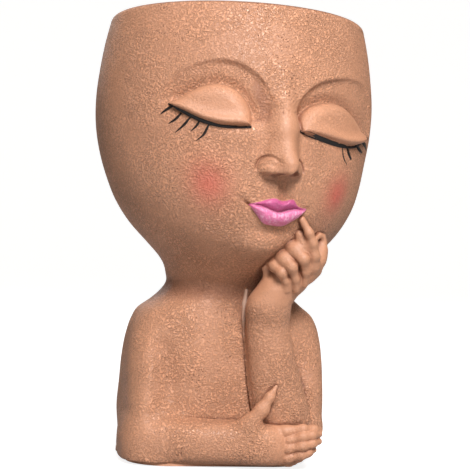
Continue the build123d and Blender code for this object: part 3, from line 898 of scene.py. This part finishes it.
def voxel_skin(clay, size=0.5):
    """One closed skin of even faces, size mm wide, over overlapping clay."""
    mesh = bpy.data.meshes.new("clay")
    clay.to_mesh(mesh)
    carrier = add_object("clay", mesh)
    remesh = carrier.modifiers.new("skin", "REMESH")
    remesh.mode, remesh.voxel_size = "VOXEL", size
    settled = carrier.evaluated_get(bpy.context.evaluated_depsgraph_get())
    skinned = bpy.data.meshes.new_from_object(settled)
    clay.clear()
    clay.from_mesh(skinned)
    for data in (mesh, skinned):
        bpy.data.meshes.remove(data)
    print("skin:", len(clay.faces), "faces")


def drop_crumbs(clay):
    """Keeps the largest connected part and deletes crumbs that settling has left."""
    parts, seen_verts = [], set()
    for start in clay.verts:
        if start in seen_verts:
            continue
        part, border = {start}, [start]
        while border:
            for edge in border.pop().link_edges:
                for vertex in edge.verts:
                    if vertex not in part:
                        part.add(vertex)
                        border.append(vertex)
        seen_verts |= part
        parts.append(part)
    parts.sort(key=len)
    for part in parts[:-1]:
        bmesh.ops.delete(clay, geom=list(part), context="VERTS")
    print("dropped", len(parts) - 1, "crumbs")


def forearm_clay(strings, form):
    """Balls on every string of places and radii, skinned and settled onto the form."""
    clay = bmesh.new()
    for places, radii in strings:
        string_balls(clay, places, radii)
    voxel_skin(clay)
    drop_crumbs(clay)
    settle_clay(clay, clay.verts[:], form, rounds=5, smoothing=0.35)
    return clay


levels = np.linspace(forearm_levels[0] + 2, forearm_levels[-1], 30)
limb_places = np.column_stack((forearm_middles(levels), levels))
limb_radii = np.column_stack((forearm_radii(levels), np.full(len(levels), 6.0)))
strings = [(limb_places, limb_radii), (palm_places, palm_radii), *raised_bones.values(),
           (bead_places, bead_radii)]
raised_piece = make_piece("forearm_raised", forearm_clay(strings, raised_forearm_form))
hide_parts("raised_forearm")

# %% Folded forearm and hand, bonded on at the elbow
folded_bones = {  # places through the picture: column, row, depth; then radii
    "index": ([(270, 432, 30), (286, 431.5, 31.6), (303, 428.9, 32.5), (314, 429.2, 29.5),
               (319.6, 430.6, 27)], (3.6, 2.6, 1.8, 1.6, 1.3)),
    "middle": ([(276, 441, 29.5), (289, 440.3, 32.6), (303, 436.9, 34), (312, 435.2, 32),
                (319, 434.2, 28)], (2.4, 2.0, 1.95, 1.85, 1.5)),
    "ring": ([(275, 450, 29.8), (288, 448.8, 33), (303, 446.0, 34.4), (312, 443.6, 32),
              (318.6, 441.4, 28)], (2.4, 2.0, 1.95, 1.85, 1.5)),
    "little": ([(275, 459, 29), (288, 457.8, 32), (301.5, 454.8, 33), (308, 452.3, 31.5),
                (313.4, 449.8, 29)], (2.3, 2.1, 1.95, 1.8, 1.4)),
    "outer edge": ([(268, 462, 25), (288, 461.4, 28.5), (300, 458.6, 28.5)], (2.2, 2.2, 1.6)),
    "thumb": ([(234, 437, 30), (250, 424, 34.5), (262, 409.5, 36), (270, 397, 36),
               (276.3, 386.5, 35)], (4.5, 4.0, 2.9, 1.9, 0.7)),
}
folded_bones = place_bones(folded_bones)
taper_start, taper_length, taper_depth = 1.5, 4.0, 1.3


def folded_form(points):
    """Forearm and hand, without bonding."""
    form = folded_limb(points)
    for name, (places, radii) in folded_bones.items():
        form = join(form, chain(points, places, radii, 2), 4.0 if name == "thumb" else 0.5)
    return np.maximum(form, foot_edge - points[:, 2])


def folded_forearm_form(points):
    """The folded forearm with a fillet of bonding up onto the chest."""
    upper_side = ease(-2.0, 4.0, points[:, 2] - folded_middles(points[:, 0])[:, 1])
    upper_side = upper_side * ease(14, 6, points[:, 0])
    at_seam = ease(elbow_seam + 14, elbow_seam, points[:, 0])
    softness = 0.6 + (folded_softness - 0.6) * np.maximum(upper_side, at_seam)
    form = join(folded_form(points), torso(points) + bond_gap * (1 - at_seam), softness)
    taper_from = elbow_seam - taper_start
    form = form + taper_depth * ease(taper_from, taper_from - taper_length, points[:, 0])
    form = cut(form, casting(points) + bond_depth + 2 * at_seam, bond_edge)
    form = np.maximum(form, taper_from - taper_length - points[:, 0])
    return np.maximum(cut(form, raised_form(points) + bond_depth, bond_edge), foot_edge - points[:, 2])


levels = np.linspace(elbow_seam - taper_start - taper_length + 5, folded_levels[-1], 26)
limb_places = np.column_stack((levels, folded_middles(levels)))
limb_radii = np.column_stack((np.full(len(levels), 5.0), folded_radii(levels)))
strings = [(limb_places, limb_radii), *folded_bones.values()]
folded_piece = make_piece("forearm_folded", forearm_clay(strings, folded_forearm_form))
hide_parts("folded_forearm")

# %% [markdown]
# ## Painted lash lines
# The closed lids end in a black painted line, with a few lashes flicked from it by a fine brush.
# A brush stroke is far narrower than the mesh, so each one is a film of its own: a grid bent along
# the stroke, tapered at its ends, pressed onto the face and given the thickness of a coat of paint.

# %% Brush strokes
def brush_stroke(clay, path, width, thin_start, thin_end, count):
    """Film of paint along a path on the face's drawing, in degrees and height."""
    grid = bmesh.ops.create_grid(clay, x_segments=count, y_segments=2, size=0.5)
    verts = grid["verts"]
    flat = places_of(verts)
    along, across = flat[:, 0] + 0.5, flat[:, 1] * 2
    line = drawn(on_paper(path), 8)
    steps = np.concatenate(([0], np.cumsum(np.linalg.norm(np.diff(line, axis=0), axis=1))))
    curve = smooth_curve(steps / steps[-1], line)
    spots = curve(along)
    ahead = curve(np.minimum(along + 0.02, 1)) - curve(np.maximum(along - 0.02, 0))
    ahead = ahead / np.linalg.norm(ahead, axis=1)[:, None]
    beside = np.column_stack((-ahead[:, 1], ahead[:, 0]))
    taper = np.minimum(thin_start + (1 - thin_start) * np.clip(along / 0.25, 0, 1),
                       thin_end + (1 - thin_end) * np.clip((1 - along) / 0.6, 0, 1) ** 0.8)
    spots = spots + beside * (across * taper * width / 2)[:, None]
    places = press_in(face_point(spots[:, 0] / degree_length, spots[:, 1]), casting)
    rows = outline(places[:, 2])
    outwards = places[:, :2] - rows[:, 2:4]
    places[:, :2] += outwards / np.linalg.norm(outwards, axis=1)[:, None] * film_lift
    move_to(verts, places)


film_lift, film_thickness = 0.10, 0.25
strokes = (  # path, width, share of the width left at each end
    ([(-47.0, 155.6), (-39.5, 151.6), (-32.3, 148.2), (-25.3, 146.5), (-19.0, 146.4), (-13.8, 146.7)],
     1.5, 0.4, 0.6),
    ([(-45.2, 154.4), (-47.4, 152.9), (-49.8, 151.1)], 1.1, 0.8, 0.2),
    ([(-41.2, 151.6), (-43.4, 149.0), (-46.5, 147.1)], 1.15, 0.6, 0.25),
    ([(-37.4, 150.0), (-40.0, 146.6), (-44.0, 143.2)], 1.1, 0.5, 0.15),
    ([(-33.8, 148.6), (-35.2, 146.0), (-37.4, 143.9)], 1.0, 0.5, 0.2),
    ([(-30.3, 146.8), (-32.0, 143.0), (-35.2, 140.0)], 1.1, 0.6, 0.15),
    ([(5.8, 146.5), (17.6, 144.0), (30.9, 142.7), (44.0, 144.8), (50.6, 148.4)], 1.7, 0.7, 0.35),
    ([(44.9, 148.0), (49.5, 146.4), (56.3, 144.0)], 2.6, 0.5, 0.3),
    ([(40.8, 144.7), (44.0, 142.9), (48.4, 141.8)], 1.7, 0.6, 0.3),
    ([(33.4, 142.3), (35.0, 139.6), (37.4, 137.6)], 1.9, 0.6, 0.4),
    ([(29.6, 142.0), (30.6, 138.2), (34.2, 134.9)], 0.8, 0.5, 0.15),
)
clay = bmesh.new()
for path, width, thin_start, thin_end in strokes:
    brush_stroke(clay, path, width, thin_start, thin_end, count=28 if len(path) > 4 else 14)
bmesh.ops.recalc_face_normals(clay, faces=clay.faces)
bmesh.ops.solidify(clay, geom=clay.verts[:] + clay.edges[:] + clay.faces[:], thickness=film_thickness)
lash_piece = make_piece("lash_paint", clay)

# %% [markdown]
# ## Painted masks
# The maker sprays a little rouge on the cheeks and paints the lips pink. A brown wash darkens the
# hollows, over the lids, in the nostrils and round the neck: it is partly the maker's wash and partly
# painted shade of those recesses, and round the neck it is painted shade of the head's shadow. The nose,
# lids and hands are smoother than the rest. All this follows the sculpture, so it is stored on the
# mesh as attributes: numbers on each vertex that the materials read. Distance to an outline stays
# crisp between vertices.

# %% Store the masks on the meshes
def all_forms(points):
    return np.minimum(np.minimum(casting(points), raised_form(points)), folded_form(points))


hollow_shade_probes = ((1.0, 0.35), (2.5, 0.35), (6.0, 0.3))  # mm out from the surface, weight


def hollow_shade_mask(points, normals):
    """How closed in each point is, the mask of painted shade in grooves: 0 in the open, towards 1 deep in a
    groove.
    """
    closed = np.zeros(len(points))
    for step, weight in hollow_shade_probes:
        closed += weight * np.clip(1 - all_forms(points + normals * step) / step, 0, 1)
    return closed


def store(piece, name, values):
    attribute = piece.data.attributes.new(name, "FLOAT", "POINT")
    attribute.data.foreach_set("value", np.asarray(values, np.float32))


def mesh_points(piece):
    count = len(piece.data.vertices)
    places, normals = np.empty(count * 3), np.empty(count * 3)
    piece.data.vertices.foreach_get("co", places)
    piece.data.vertices.foreach_get("normal", normals)
    return places.reshape(-1, 3) / mm, normals.reshape(-1, 3)


# Strength and width of the brown wash and painted shade above the lids and beside the nose.
lid_wash_and_shade, nose_side_wash_and_shade, lid_wash_and_shade_width = 0.62, 0.56, 3.2


def eye_wash_and_shade(spots):
    """Brown wash and painted shade in the hollow above each closed lid, heaviest by the lid and towards the
    nose.
    """
    wash_and_shade = np.zeros(len(spots))
    right_side, left_side = spots[:, 0] < -2, spots[:, 0] > 2
    for eye, near, away, beside in ((right_eye, right_side, -20, -12), (left_eye, left_side, 11, 6)):
        near = near & (spots[:, 1] > 136) & (spots[:, 1] < 178)
        lid, socket = depth_inside(spots[near], eye["lid_loop"]), depth_inside(spots[near], eye["socket"])
        over_line = above_lashes(spots[near], eye)
        by_lid = lid_wash_and_shade * np.exp(np.minimum(lid, 0) / lid_wash_and_shade_width)
        by_nose = nose_side_wash_and_shade * ease(away, beside, spots[near, 0])
        open_part = (lid < 0) * ease(-1, 3, over_line) * ease(0, 2.5, socket)
        wash_and_shade[near] = open_part * np.maximum(by_lid, by_nose)
    return wash_and_shade

# %% Masks of the forearms
points, normals = mesh_points(raised_piece)
# Painted shade, with the brown wash, in the hand's grooves and where the forearm meets the chest.
store(raised_piece, "hollow_shade", hollow_shade_mask(points, normals))
store(raised_piece, "bonding", ease(0.7, 0.1, chain(points, bead_places, bead_radii, 1)))
store(raised_piece, "smoothed", 0.8 * ease(wrist[2] - 8, wrist[2] + 4, points[:, 2]))

points, normals = mesh_points(folded_piece)
hand_part = np.maximum(ease(6, 18, points[:, 0]), ease(21, 25, points[:, 2]))
# Painted shade, with the brown wash, in the grooves of the folded hand.
store(folded_piece, "hollow_shade", hollow_shade_mask(points, normals))
store(folded_piece, "smoothed", 0.7 * hand_part)
print("hands from", points[:, 0].min().round(1), "to", points[:, 0].max().round(1), "mm across")

# %% Lips and rouge of the bust
points, normals = mesh_points(bust_piece)
azimuth, reach, radius = unroll(points)
height = points[:, 2]
in_front = (np.abs(azimuth) < 60) & (reach > radius - 3)
near_mouth = in_front & in_box(azimuth, height, -26, 26, 100, 124)
mouth_spots = np.column_stack((azimuth * mouth_degree_length, height))[near_mouth]
for name, loop in (("lips", lips_loop), ("upper_lip", upper_loop)):
    inside_loop = np.full(len(points), -3.0)
    inside_loop[near_mouth] = depth_inside(mouth_spots, loop)
    store(bust_piece, name, np.clip(inside_loop, -3, 3))
    print(name, "points", int((inside_loop > 0).sum()))
# Mask of the painted shade along the groove between the lips.
to_line = np.full(len(points), 9.0)
to_line[near_mouth], _ = distance_to_line(mouth_spots, mouth_line)
store(bust_piece, "mouth_line", bell(to_line, 0.6))

rouge_spots = ((-31.7, 122.8, 9.2, 1.05), (31.4, 121.6, 8.0, 1.3))  # degrees, height, size, strength
rouge = np.zeros(len(points))
for middle, level, size, amount in rouge_spots:
    away = np.hypot((azimuth - middle) * degree_length, height - level)
    rouge += amount * bell(away, size) * in_front
store(bust_piece, "rouge", rouge)

# %% Wash and painted shade in the hollows of the bust
neck_shade, neck_shade_drop, neck_shade_width = 0.58, 4, 7.0
# Painted shade, with the brown wash, in the grooves, along the smile's crease, in the nostrils and over the
# lids.
hollow_shade = hollow_shade_mask(points, normals)
to_smile, along = distance_to_line(mouth_spots, smile_line)
hollow_shade[near_mouth] = np.maximum(hollow_shade[near_mouth], (0.3 + 0.5 * along) * bell(to_smile, 0.7))
near_nose = in_front & in_box(azimuth, height, -16, 16, 122, 134)
lifted = np.column_stack((azimuth * degree_length, reach - radius, height))[near_nose]
for places in nostrils:
    in_nostril = ease(1.2, 0.2, chain(lifted, places, (1.3, 1.2), 1))
    hollow_shade[near_nose] = np.maximum(hollow_shade[near_nose], in_nostril)
on_face = np.column_stack((azimuth * degree_length, height))
hollow_shade[in_front] = np.maximum(hollow_shade[in_front], eye_wash_and_shade(on_face[in_front]))
# Painted shade in a band round the neck, where the head's shadow falls.
from_neck = height - neck_height + neck_shade_drop
store(bust_piece, "hollow_shade", np.maximum(hollow_shade, neck_shade * bell(from_neck, neck_shade_width)))

# %% Places rubbed smooth: the nose, beside it and the lids
smooth_places = (((-1, 140), (11, 20), 0.8), ((-17, 156), (7, 8), 0.5), ((12, 152), (7, 8), 0.5))
smoothed = sum(soft_bump(azimuth, height, *place) for place in smooth_places)
on_lid = in_front & in_box(azimuth, height, -60, 60, 138, 170)
for eye in (right_eye, left_eye):
    lid = depth_inside(on_face[on_lid], eye["lid_loop"])
    smoothed[on_lid] = np.maximum(smoothed[on_lid], 0.65 * ease(-0.5, 1.0, lid))
store(bust_piece, "smoothed", np.clip(smoothed, 0, 0.85) * in_front)

# %% [markdown]
# ## The cast and painted skin
# The casting has the look of fine leather: short wrinkles about a millimetre apart, with small pits
# that hold the brown wash. Noise bent by more noise gives wrinkles without a grain direction, and
# cells give the pits. All castings share this texture, so it is one node group with named inputs.
# The wrinkles also darken the paint a little in their valleys, and fade where the clay was smoothed.

# %% Node group: leathery grain of the casting
def new_group(name, inputs, outputs):
    """An empty node group; inputs are name, kind and default, outputs are name and kind."""
    group = bpy.data.node_groups.new(name, "ShaderNodeTree")
    for socket, kind, value in inputs:
        item = group.interface.new_socket(name=socket, in_out="INPUT", socket_type=kind)
        if value is not None:
            item.default_value = value
    for socket, kind in outputs:
        group.interface.new_socket(name=socket, in_out="OUTPUT", socket_type=kind)
    return group


def add_node(tree, kind, inputs=None, **settings):
    """A node with its settings and inputs: a value, or another node's output socket."""
    node = tree.nodes.new(kind)
    for name, value in settings.items():
        setattr(node, name, value)
    for name, value in (inputs or {}).items():
        if isinstance(value, bpy.types.NodeSocket):
            tree.links.new(value, node.inputs[name])
        else:
            node.inputs[name].default_value = value
    return node


def math_node(tree, operation, first, second=0.0):
    return add_node(tree, "ShaderNodeMath", {0: first, 1: second}, operation=operation).outputs[0]


def vector_node(tree, operation, first, second):
    return add_node(tree, "ShaderNodeVectorMath", {0: first, 1: second}, operation=operation).outputs[0]


def mix_value(tree, share, first, second):
    return add_node(tree, "ShaderNodeMix", {0: share, 2: first, 3: second}, data_type="FLOAT").outputs[0]


def noise(tree, place, scale, detail, **more):
    inputs = {"Vector": place, "Scale": scale, "Detail": detail, **more}
    return add_node(tree, "ShaderNodeTexNoise", inputs).outputs["Fac"]


def map_range(tree, value, low, high, to_low=0.0, to_high=1.0):
    inputs = {"Value": value, "From Min": low, "From Max": high, "To Min": to_low, "To Max": to_high}
    return add_node(tree, "ShaderNodeMapRange", inputs, interpolation_type="SMOOTHSTEP").outputs[0]


def mix_colour(tree, share, first, second):
    node = add_node(tree, "ShaderNodeMix", data_type="RGBA")
    for socket, value in (("Factor_Float", share), ("A_Color", first), ("B_Color", second)):
        target = next(item for item in node.inputs if item.identifier == socket)
        if isinstance(value, bpy.types.NodeSocket):
            tree.links.new(value, target)
        else:
            target.default_value = value
    return next(item for item in node.outputs if item.identifier == "Result_Color")


def grain_group():
    """Wrinkles with pits between them, calmer in some patches, and a slow mottle."""
    number = "NodeSocketFloat"
    inputs = [("Vector", "NodeSocketVector", None), ("Wrinkle Scale", number, 1250.0),
              ("Pit Scale", number, 760.0)]
    outputs = [("Height", number), ("Pits", number), ("Mottle", number)]
    grain = new_group("casting_grain", inputs, outputs)
    start = add_node(grain, "NodeGroupInput")
    place = start.outputs["Vector"]
    bend = add_node(grain, "ShaderNodeTexNoise", {"Vector": place, "Scale": 600.0, "Detail": 1.0})
    pull = vector_node(grain, "MULTIPLY", bend.outputs["Color"], (0.0009, 0.0009, 0.0009))
    bent = vector_node(grain, "ADD", place, pull)
    wrinkle = noise(grain, bent, start.outputs["Wrinkle Scale"], 2.0, Roughness=0.55, Distortion=0.6)
    worms = map_range(grain, wrinkle, 0.38, 0.64)
    cell_inputs = {"Vector": bent, "Scale": start.outputs["Pit Scale"], "Randomness": 1.0}
    cells = add_node(grain, "ShaderNodeTexVoronoi", cell_inputs).outputs["Distance"]
    pit_size = map_range(grain, noise(grain, place, 90.0, 2.0), 0.42, 0.72, 0.0, 0.26)
    pits = map_range(grain, math_node(grain, "SUBTRACT", pit_size, cells), -0.03, 0.05)
    strength = map_range(grain, noise(grain, place, 60.0, 1.0), 0.34, 0.62, 0.45, 1.0)
    height = math_node(grain, "SUBTRACT", math_node(grain, "MULTIPLY", worms, strength),
                       math_node(grain, "MULTIPLY", pits, 0.8))
    mottle = noise(grain, place, 38.0, 4.0, Roughness=0.6)
    end = add_node(grain, "NodeGroupOutput")
    for name, socket in (("Height", height), ("Pits", pits), ("Mottle", mottle)):
        grain.links.new(socket, end.inputs[name])
    return grain


grain = grain_group()
print("grain:", len(grain.nodes), "nodes")

# %% Paints
def srgb(red, green, blue):
    """Linear colour from the 0 to 255 values of a paint chip."""
    return tuple(((v / 255 + 0.055) / 1.055) ** 2.4 if v > 10 else v / 255 / 12.92
                 for v in (red, green, blue)) + (1.0,)


# The brown fills the pits as wash and paints shade in the hollows.
clay_brown, wash_and_shade_brown, rouge_red = srgb(207, 148, 114), srgb(104, 48, 22), srgb(205, 92, 78)
lip_pink, lip_light = srgb(230, 122, 168), srgb(250, 190, 216)
# The dark colour paints the shade in the groove between the lips.
lip_deep, lip_groove_shade = srgb(196, 88, 138), srgb(138, 52, 88)
# The bead's pale is partly the glue's own colour and partly a painted glint.
bonding_pale_glint = srgb(226, 196, 178)
grain_depth, smooth_height = 0.0005, 0.22
cast_gloss, lip_roughness, bonding_roughness = 0.6, 0.3, 0.22


def new_material(name):
    material = bpy.data.materials.new(name)
    material.use_nodes = True
    shader = next(node for node in material.node_tree.nodes if node.type == "BSDF_PRINCIPLED")
    return material, material.node_tree, shader


def object_place(tree):
    return add_node(tree, "ShaderNodeTexCoord").outputs["Object"]


def attribute(tree, name):
    return add_node(tree, "ShaderNodeAttribute", attribute_name=name).outputs["Fac"]


def finish(tree, shader, colour, rough, height, strength, depth):
    """Links colour, roughness and a bump of the height to the shader."""
    bump = add_node(tree, "ShaderNodeBump", {"Height": height, "Strength": strength, "Distance": depth})
    for name, socket in (("Base Color", colour), ("Roughness", rough), ("Normal", bump.outputs["Normal"])):
        tree.links.new(socket, shader.inputs[name])


def lip_paint(tree, place):
    """Pink with pale upright streaks, deeper on the upper lip, and dark along the mouth line as painted shade
    of the groove between the lips.
    """
    upright = vector_node(tree, "MULTIPLY", place, (1.0, 1.0, 0.25))
    streaky = map_range(tree, noise(tree, upright, 1000.0, 3.0), 0.46, 0.66, 0.0, 0.75)
    pink = mix_colour(tree, streaky, lip_pink, lip_light)
    pink = mix_colour(tree, map_range(tree, attribute(tree, "upper_lip"), -0.2, 0.2), pink, lip_deep)
    return mix_colour(tree, math_node(tree, "MULTIPLY", attribute(tree, "mouth_line"), 0.6), pink, lip_groove_shade)

# %% Casting finish: clay brown, brown wash with painted shade, rouge, painted lips and bonding
def cast_material(name, painted=False, bonded=False):
    """The castings' skin; painted adds rouge and lips, bonded adds a glue bead, pale partly with a painted
    glint.
    """
    material, tree, shader = new_material(name)
    place = object_place(tree)
    texture = add_node(tree, "ShaderNodeGroup", node_tree=grain)
    tree.links.new(place, texture.inputs["Vector"])
    smoothed = attribute(tree, "smoothed")
    if painted:
        lips = map_range(tree, attribute(tree, "lips"), -0.12, 0.16)
        smoothed = math_node(tree, "MAXIMUM", math_node(tree, "MULTIPLY", lips, 0.55), smoothed)
    relief = mix_value(tree, smoothed, texture.outputs["Height"], smooth_height)
    grained = math_node(tree, "SUBTRACT", 1.0, smoothed)
    pits = math_node(tree, "MULTIPLY", texture.outputs["Pits"], grained)
    cloud = map_range(tree, texture.outputs["Mottle"], 0.3, 0.7, 0.93, 1.05)
    tone = math_node(tree, "MULTIPLY", cloud, map_range(tree, relief, -0.3, 1.0, 0.66, 1.13))
    toned = add_node(tree, "ShaderNodeVectorMath", {0: clay_brown[:3], "Scale": tone}, operation="SCALE")
    colour = mix_colour(tree, math_node(tree, "MULTIPLY", pits, 0.5), toned.outputs[0], wash_and_shade_brown)
    # Brown wash and painted shade darken the hollows.
    wash_and_shade = map_range(tree, attribute(tree, "hollow_shade"), 0.18, 0.75, 0.0, 0.62)
    colour = mix_colour(tree, wash_and_shade, colour, wash_and_shade_brown)
    rough = map_range(tree, relief, 0.0, 1.0, 0.52, 0.40)
    if painted:
        rouge = math_node(tree, "MULTIPLY", attribute(tree, "rouge"), 0.62)
        colour = mix_colour(tree, rouge, colour, rouge_red)
        colour = mix_colour(tree, lips, colour, lip_paint(tree, place))
        rough = mix_value(tree, lips, rough, lip_roughness)
    if bonded:
        bonding = attribute(tree, "bonding")
        # Pale glue colour and a painted glint along the bead.
        colour = mix_colour(tree, math_node(tree, "MULTIPLY", bonding, 0.5), colour, bonding_pale_glint)
        rough = mix_value(tree, bonding, rough, bonding_roughness)
        relief = math_node(tree, "MULTIPLY", relief, math_node(tree, "SUBTRACT", 1.0, bonding))
    finish(tree, shader, colour, rough, relief, 1.0, grain_depth)
    shader.inputs["Specular IOR Level"].default_value = cast_gloss
    return material


bust_piece.data.materials.append(cast_material("painted_casting", painted=True))
raised_piece.data.materials.append(cast_material("bonded_casting", bonded=True))
folded_piece.data.materials.append(cast_material("plain_casting"))

# %% Black brush paint: a little streaky, with a satin sheen
def lash_material():
    material, tree, shader = new_material("lash_black")
    streaks = noise(tree, object_place(tree), 700.0, 3.0)
    colour = mix_colour(tree, streaks, srgb(13, 10, 10), srgb(32, 23, 21))
    finish(tree, shader, colour, map_range(tree, streaks, 0.3, 0.7, 0.32, 0.5), streaks, 0.3, 0.0001)
    return material


lash_piece.data.materials.append(lash_material())

# %% [markdown]
# ## The moulded and cut pieces
# The base plate, pads, drain tube, plug and screen are simple moulded parts. Their solids are
# already right, so they keep them and only get finishes: each with a fine grain of its own.

# %% Finishes for the pieces carried over from CAD
def moulded_material(name, colour, rough, scale, depth, speckle):
    """Moulded plastic or rubber: fine grain in the height, cloudy roughness and a little dust."""
    material, tree, shader = new_material(name)
    place = object_place(tree)
    cloud = noise(tree, place, 60.0, 3.0)
    dust = map_range(tree, cloud, 0.35, 0.75, 0.0, speckle)
    lighter = tuple(min(1.0, value * 1.5 + 0.05) for value in colour[:3]) + (1.0,)
    cloudy = map_range(tree, cloud, 0.3, 0.7, rough - 0.08, rough + 0.08)
    finish(tree, shader, mix_colour(tree, dust, colour, lighter), cloudy,
           noise(tree, place, scale, 4.0), 0.4, depth)
    return material


carried_finishes = {  # roughness, grain scale, grain depth in metres, dust
    "base_plate": moulded_material("plate_resin", srgb(196, 142, 112), 0.6, 900.0, 0.0003, 0.25),
    "drain_tube": moulded_material("tube_plastic", srgb(206, 203, 196), 0.42, 1400.0, 0.0001, 0.2),
    "drain_plug": moulded_material("plug_rubber", srgb(52, 50, 49), 0.7, 1600.0, 0.0002, 0.15),
    "drain_screen": moulded_material("screen_plastic", srgb(60, 58, 55), 0.5, 1500.0, 0.0001, 0.2),
}
pad_rubber = moulded_material("pad_rubber", srgb(70, 68, 66), 0.8, 1200.0, 0.0003, 0.2)
for number in range(1, 5):
    carried_finishes[f"foot_pad_{number}"] = pad_rubber
for node, material in carried_finishes.items():
    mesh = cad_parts[node].data
    mesh.materials.clear()
    mesh.materials.append(material)
print("finished", len(carried_finishes), "carried nodes")

# %% [markdown]
# ## Floor and light
# A plain pale floor curves up all round like a shallow dish, so no horizon shows from any side.
# A small soft key light stands in front and well above, so the lids and nose throw short shadows
# down, and a wide panel overhead lights the rim and shoulders. A weak one behind shows the back,
# and a warm, dim world fills the shade under the jaw and chin.

# %% Floor
floor_clay = bmesh.new()
curve = [(0.0, 0.0), (1.6, 0.0), (2.2, 0.06), (2.7, 0.28), (3.0, 0.7), (3.1, 1.5)]  # metres
ring = [floor_clay.verts.new((reach, 0, height)) for reach, height in curve]
edges = [floor_clay.edges.new(pair) for pair in zip(ring, ring[1:])]
spin(floor_clay, ring + edges, 2 * pi, 96, closed=True)
bmesh.ops.remove_doubles(floor_clay, verts=floor_clay.verts, dist=0.0001)
bmesh.ops.recalc_face_normals(floor_clay, faces=floor_clay.faces)
floor_mesh = bpy.data.meshes.new("floor")
floor_clay.to_mesh(floor_mesh)
floor_clay.free()
floor_mesh.shade_smooth()
floor = add_object("floor", floor_mesh)
floor_glow = 0.86
floor_material, tree, shader = new_material("pale_floor")
cloud = add_node(tree, "ShaderNodeTexNoise", {"Scale": 3.0, "Detail": 2.0})
tree.links.new(mix_colour(tree, cloud.outputs["Fac"], (0.40, 0.40, 0.40, 1), (0.43, 0.43, 0.43, 1)),
               shader.inputs["Base Color"])
shader.inputs["Roughness"].default_value = 0.9
shader.inputs["Emission Color"].default_value = (1, 1, 1, 1)
to_camera = add_node(tree, "ShaderNodeLightPath").outputs["Is Camera Ray"]
tree.links.new(math_node(tree, "MULTIPLY", to_camera, floor_glow), shader.inputs["Emission Strength"])
floor_mesh.materials.append(floor_material)

# %% Lights
def soft_light(name, azimuth, elevation, distance, size, power):
    """A square panel aimed at the middle of the pot; azimuth 0 is in front, positive to its left."""
    data = bpy.data.lights.new(name, "AREA")
    data.size, data.energy = size, power
    light = add_object(name, data)
    turn, lift = radians(azimuth), radians(elevation)
    offset = Vector((sin(turn) * cos(lift), -cos(turn) * cos(lift), sin(lift)))
    light.location = offset * distance + Vector((0, 0, 0.1))
    light.rotation_euler = offset.to_track_quat("Z", "Y").to_euler()


lights = (  # azimuth, elevation, distance, size, power
    ("key", -1, 37, 1.3, 0.4, 24.0), ("overhead", -20, 84, 2.2, 1.6, 13.0),
    ("behind", 180, 30, 1.6, 1.0, 6.0),
)
for light in lights:
    soft_light(*light)
world_colour, world_strength = (1.0, 0.80, 0.62, 1), 0.2
world = bpy.data.worlds.new("world")
world.use_nodes = True
background = next(node for node in world.node_tree.nodes if node.type == "BACKGROUND")
background.inputs["Color"].default_value = world_colour
background.inputs["Strength"].default_value = world_strength
bpy.context.scene.world = world
bpy.context.scene.view_settings.view_transform = "Standard"
